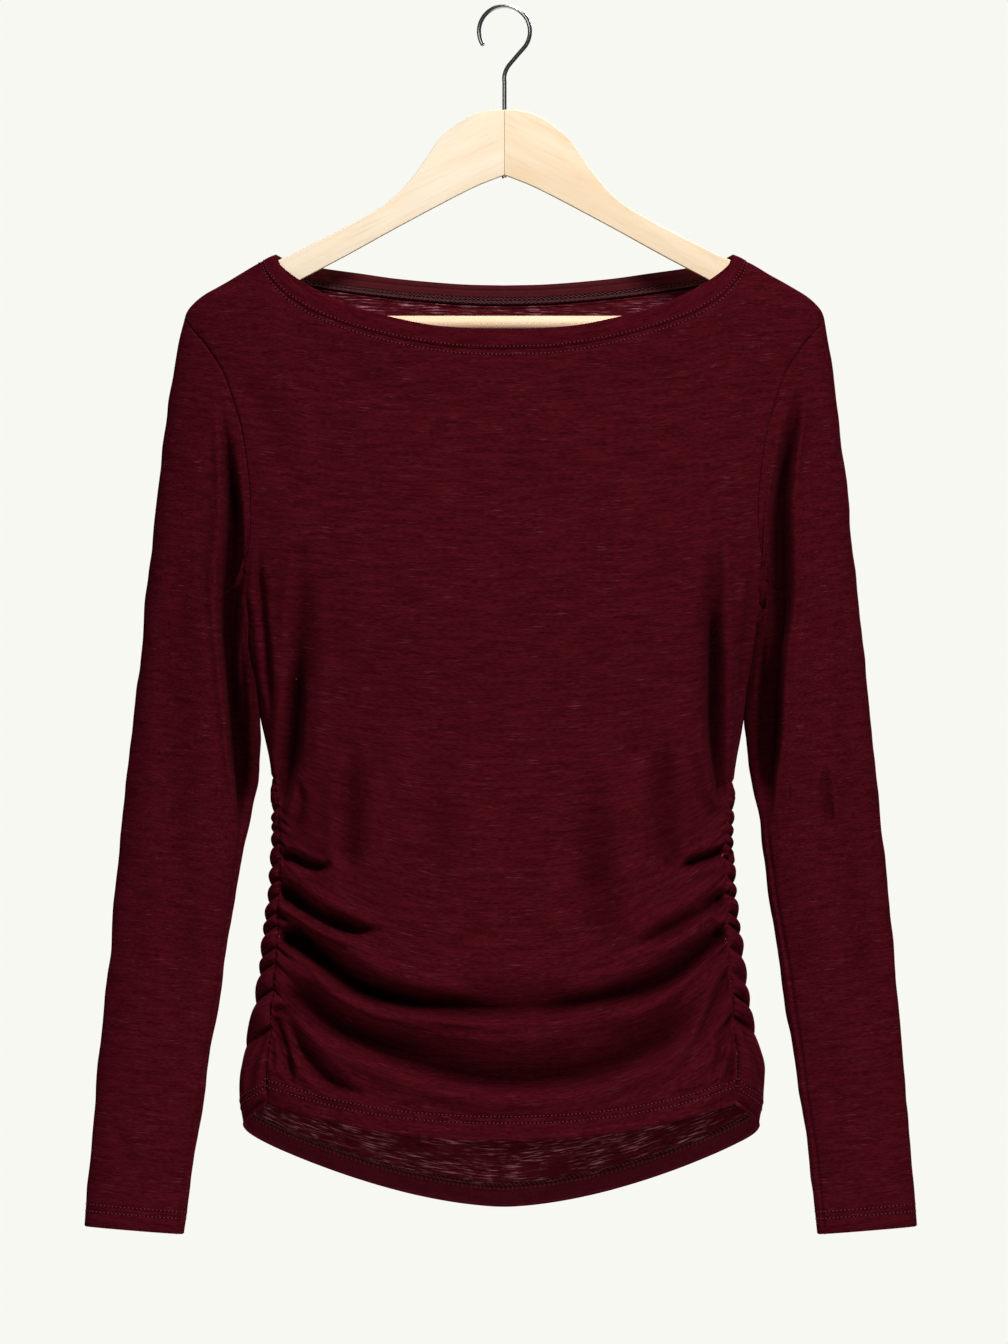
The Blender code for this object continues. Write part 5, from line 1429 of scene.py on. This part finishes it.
def neckband(front, back):
    """The band's rows from the neck seam to its free edge, as one ring round the neck."""
    count = HALF_COLUMNS - SHOULDER_COLUMNS
    seam = np.concatenate((front[-1, SHOULDER_COLUMNS:-SHOULDER_COLUMNS],
                           back[-1, -SHOULDER_COLUMNS - 2:SHOULDER_COLUMNS:-1]))
    halves = []
    for rows, is_front in ((FRONT_NECK_EDGE, True), (BACK_NECK_EDGE, False)):
        left = neck_line(rows, LEFT, is_front, count)
        right = neck_line(rows, RIGHT, is_front, count)
        halves.append(left + right[-2::-1])
    edge = np.array(halves[0] + halves[1][-2:0:-1])
    shares = np.linspace(0.0, 1.0, BAND_ROWS)
    band = np.array([seam + (edge - seam) * share for share in shares])
    normals = grid_normals(band, ring=True)
    bulge = np.array([BAND_BULGE * math.sin(math.pi * share) for share in shares])
    band = band + normals * bulge[:, None, None]
    return band, grid_normals(band, ring=True)


def stitch_cuff(name, rings, normals, made, needle):
    lines = [line_at(rings, normals, distance, True, range(rings.shape[1]))
             for distance in CUFF_STITCHES]
    made[name + "_stitches"] = add_needle_rows(name + "_stitches", lines, True, needle)


def stitch_panel(name, grid, normals, inner, made, needle, inner_thread):
    """Needle rows at the hem and below the neck, and the chevrons behind the hem's."""
    columns = range(grid.shape[1])
    lines = [line_at(grid, normals, distance, True, columns) for distance in HEM_STITCHES]
    neck = range(SHOULDER_COLUMNS, grid.shape[1] - SHOULDER_COLUMNS)
    lines.append(line_at(grid, normals, PANEL_STITCH, False, neck))
    made[name + "_stitches"] = add_needle_rows(name + "_stitches", lines, False, needle)
    first, _ = line_at(inner, normals, HEM_STITCHES[0] - 0.4, True, columns)
    second, turned = line_at(inner, normals, HEM_STITCHES[1] + 0.4, True, columns)
    chevrons = cover_stitches(first, second, -turned, CHEVRON_PITCH, HEM_CHEVRON_LIFT)
    made[name + "_cover_stitches"] = add_threads(name + "_cover_stitches", chevrons,
                                                 [inner_thread], HEM_CHEVRON_RADIUS)


# ---------------------------------------------------------------- the hanger

def wood_outline():
    """Outline of the right half as (across, down), round from the joint's top."""
    top = [(row.across, row.down, 0.0) for row in WOOD_TOP]
    for down in WOOD_IN_SHOULDER:
        top.append((half_width(RIGHT, down) - SHOULDER_TO_WOOD, down + RIDGE_TO_WOOD, 0.0))
    top.append((TIP_ACROSS, TIP_DOWN, 0.0))
    upper = points_along(smooth_path(top), [k / 90 for k in range(91)])
    lower = points_along(smooth_path([(row.across, row.down, 0.0) for row in WOOD_BOTTOM]),
                         [k / 24 for k in range(25)])
    boss = smooth_path([(TIP_ACROSS - 1.0, TIP_DOWN + 3.0, 0.0),
                        (BOSS_OUTER + 5.0, BOSS_BOTTOM - 2.5, 0.0),
                        (BOSS_OUTER, BOSS_BOTTOM, 0.0), (BOSS_INNER + 2.0, BOSS_BOTTOM, 0.0),
                        (BOSS_INNER, BOSS_BOTTOM - 2.0, 0.0), (BOSS_INNER, BOSS_TOP, 0.0)], 4)
    return upper + boss + lower[::-1]


def finished_mesh(form, name, finish):
    mesh = bpy.data.meshes.new(name)
    form.to_mesh(mesh)
    form.free()
    mesh.materials.append(finish)
    return mesh


def add_arm(name, side, finish):
    outline = wood_outline()
    outline[0].x = outline[-1].x = 0.12
    form = bmesh.new()
    half = WOOD_THICKNESS / 2
    loops = []
    for depth in (-half, half):
        loops.append([form.verts.new((side * p.x * MM, depth * MM, -p.y * MM)) for p in outline])
    count = len(outline)
    form.faces.new(loops[0])
    form.faces.new(loops[1][::-1])
    for i in range(count):
        k = (i + 1) % count
        form.faces.new((loops[0][k], loops[0][i], loops[1][i], loops[1][k]))
    bmesh.ops.recalc_face_normals(form, faces=form.faces)
    rims = []
    for loop in loops:
        for i in range(count - 1):
            rims.append(form.edges.get((loop[i], loop[i + 1])))
    bmesh.ops.bevel(form, geom=rims, offset=WOOD_ROUNDING * MM, segments=5, profile=0.5,
                    affect="EDGES", clamp_overlap=True)
    mesh = finished_mesh(form, name, finish)
    mesh.shade_smooth()
    mesh.set_sharp_from_angle(angle=math.radians(40))
    return add_object(name, mesh)


def add_tube(name, path, radii, finish, sides=24):
    """A round wire or rod along a path."""
    points = []
    for i, point in enumerate(path):
        along = (path[min(i + 1, len(path) - 1)] - path[max(i - 1, 0)]).normalized()
        sideways = along.cross(Vector((0.0, 1.0, 0.0))).normalized()
        upright = sideways.cross(along).normalized()
        for k in range(sides):
            turn = 2 * math.pi * k / sides
            points.append(point + (sideways * math.cos(turn) + upright * math.sin(turn)) * radii[i])
    faces = [tuple(range(sides))]
    for j in range(len(path) - 1):
        for i in range(sides):
            k = (i + 1) % sides
            faces.append((j * sides + k, j * sides + i, (j + 1) * sides + i, (j + 1) * sides + k))
    last = (len(path) - 1) * sides
    faces.append(tuple(last + i for i in range(sides - 1, -1, -1)))
    made = add_mesh(name, [tuple(p) for p in points], faces, [finish])
    made.data.set_sharp_from_angle(angle=math.radians(50))
    return made


def hook_wire(finish):
    centre_down = HOOK_RADIUS - WIRE_RADIUS
    path = [Vector((0.0, 0.0, -down)) for down in (113.0, 90.0, 68.0, 60.0)]
    path += smooth_path([(0.0, 0.0, -50.0), (0.0, 0.0, -45.0), (2.1, 0.0, -39.5),
                         (7.2, 0.0, -33.2), (13.58, 0.0, -25.83)], steps=6)
    for k in range(1, 61):
        turn = math.radians(HOOK_START_ANGLE + (HOOK_END_ANGLE - HOOK_START_ANGLE) * k / 60)
        path.append(Vector((HOOK_RADIUS * math.cos(turn), 0.0,
                            HOOK_RADIUS * math.sin(turn) - centre_down)))
    path.append(path[-1] + (path[-1] - path[-2]).normalized() * 0.8)
    radii = [WIRE_RADIUS] * (len(path) - 1) + [WIRE_RADIUS * 0.55]
    return add_tube("hook_wire", path, radii, finish)


def build_hanger():
    left = pale_wood("pale_wood_left_grain", (0.93, 0.80, 0.62), (0.90, 0.73, 0.52),
                     (0.72, 0.50, 0.32), 26.0, 2.0)
    right = pale_wood("pale_wood_right_grain", (0.91, 0.74, 0.53), (0.87, 0.66, 0.43),
                      (0.74, 0.50, 0.30), -26.0, 31.0)
    rod = pale_wood("pale_wood_rod_grain", (0.94, 0.68, 0.45), (0.92, 0.63, 0.39),
                    (0.78, 0.50, 0.30), 0.0, 57.0)
    steel = plain("wire_steel", (0.60, 0.60, 0.60), 0.16, 1.0, 0.5)
    dark = plain("nail_steel", (0.05, 0.045, 0.04), 0.4, 0.8, 0.5)
    end = BAR_HALF_LENGTH + BAR_IN_BOSS
    bar = [Vector((x, 0.0, -BAR_DOWN)) for x in (-end, -end + 0.3, end - 0.3, end)]
    bar_radii = [BAR_END_RADIUS, BAR_RADIUS, BAR_RADIUS, BAR_END_RADIUS]
    pin = [Vector((-0.9, 0.0, -down)) for down in (111.0, 113.0, 113.6)]
    return {
        "hanger_arm_left": add_arm("hanger_arm_left_wood", LEFT, left),
        "hanger_arm_right": add_arm("hanger_arm_right_wood", RIGHT, right),
        "hanger_hook": hook_wire(steel),
        "hanger_bar": add_tube("hanger_bar_wood", bar, bar_radii, rod, 48),
        "joint_pin": add_tube("joint_pin_tip", pin, [0.9, 0.9, 0.5], dark, 12),
    }


# ---------------------------------------------------------------- light and camera

Lamp = namedtuple("Lamp", "name place aim_down size power")    # metres and watts
LAMPS = (
    Lamp("key", (1.1, -3.35, 2.7), 0.62, 1.1, 38.0),
    Lamp("fill", (-0.8, -3.0, -0.5), 0.62, 1.4, 1.8),
    Lamp("top", (0.1, 0.7, 1.6), 0.45, 1.4, 2.0),
    Lamp("back", (0.6, 2.6, 0.9), 0.45, 1.4, 26.0),
)
LAMP_SPREAD = 70.0
AMBIENT = 0.045
BACKDROP = (0.939, 0.939, 0.896)
FLOOR_DOWN = 1.30
CAMERA_AWAY = 10.0
CAMERA_PLACE = (-0.0003, -CAMERA_AWAY, -0.44267)
SEEN_HALF_HEIGHT = 0.448


def add_lamp(lamp):
    light = bpy.data.lights.new(lamp.name, "AREA")
    light.shape = "DISK"
    light.size = lamp.size
    light.energy = lamp.power
    light.spread = math.radians(LAMP_SPREAD)
    made = add_object(lamp.name, light)
    made.location = lamp.place
    aim = Vector((0.0, 0.0, -lamp.aim_down)) - Vector(lamp.place)
    made.rotation_euler = aim.to_track_quat("-Z", "Y").to_euler()


def build_set():
    scene = bpy.context.scene
    scene.view_settings.view_transform = "Standard"
    scene.view_settings.look = "None"

    world = bpy.data.worlds.new("studio")
    scene.world = world
    world.use_nodes = True
    tree = world.node_tree
    backdrop = tree.nodes["Background"]
    fill(tree, backdrop, {"Color": BACKDROP})
    ambient = node(tree, "Background", {"Color": (1.0, 1.0, 1.0), "Strength": AMBIENT})
    seen = node(tree, "LightPath", {}, output="Is Camera Ray")
    shown = node(tree, "MixShader", {0: seen, 1: ambient, 2: backdrop.outputs[0]})
    fill(tree, tree.nodes["World Output"], {"Surface": shown})
    for lamp in LAMPS:
        add_lamp(lamp)

    form = bmesh.new()
    bmesh.ops.create_circle(form, cap_ends=True, segments=96, radius=1.1)
    paint = plain("floor_paint", (0.80, 0.80, 0.77), 0.9, 0.0, 0.1)
    floor = add_object("floor", finished_mesh(form, "floor", paint))
    floor.location = (0.0, 0.0, -FLOOR_DOWN)

    lens = bpy.data.cameras.new("camera")
    lens.sensor_fit = "VERTICAL"
    lens.angle = 2 * math.atan(SEEN_HALF_HEIGHT / CAMERA_AWAY)
    camera = add_object("camera", lens)
    camera.location = CAMERA_PLACE
    camera.rotation_euler = (math.pi / 2, 0.0, 0.0)
    scene.camera = camera


def main():
    outside = jersey("slub_jersey_outside", (0.027, 0.0014, 0.0030), (0.071, 0.0048, 0.0090),
                     (0.17, 0.038, 0.048), 0.5, None, 1.0)
    # the inside's pale slub marks are partly the yarn's own slubs and partly painted light shining
    # through the thin cloth
    inside = jersey("slub_jersey_inside", (0.046, 0.0024, 0.0050), (0.105, 0.0075, 0.0140),
                    (0.50, 0.19, 0.23), 1.0,
                    ((0.075, 0.0060, 0.0105), (0.115, 0.0110, 0.0180)), 57.0)
    band_outside = jersey("neckband_outside", (0.031, 0.0015, 0.0033), (0.068, 0.0042, 0.0086),
                          (0.17, 0.038, 0.050), 0.3, None, 67.0)
    # the band's inside gets painted shade behind its chevrons and at the seam
    band_inside = jersey("neckband_inside", (0.060, 0.0088, 0.0115), (0.078, 0.0120, 0.0150),
                         (0.12, 0.030, 0.036), 0.2, None, 83.0, True)
    thread = plain("needle_thread", (0.125, 0.027, 0.032), 0.8, 0.0, 0.05)
    # painted shade: near-black threads stand for the shadowed needle holes
    hole = plain("needle_holes_painted_shade", (0.008, 0.0006, 0.0010), 0.9, 0.0, 0.0)
    inner_thread = plain("looper_thread", (0.125, 0.044, 0.046), 0.8, 0.0, 0.05)

    cloth = build_garment((outside, inside), (band_outside, band_inside), (thread, hole),
                          inner_thread)
    wood = build_hanger()
    for made in list(cloth.values()) + list(wood.values()):
        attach(made, "root")
    for name, made in list(cloth.items()) + list(wood.items()):
        if name in ("front_panel", "back_panel", "sleeve_left", "sleeve_right"):
            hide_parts(name)
        elif name == "neckband":
            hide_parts(name)
        elif name in ("hanger_arm_left", "hanger_bar"):
            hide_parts(name)
        elif name == "hanger_arm_right":
            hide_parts(name)
        elif name == "hanger_hook":
            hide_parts(name)

    build_set()


main()
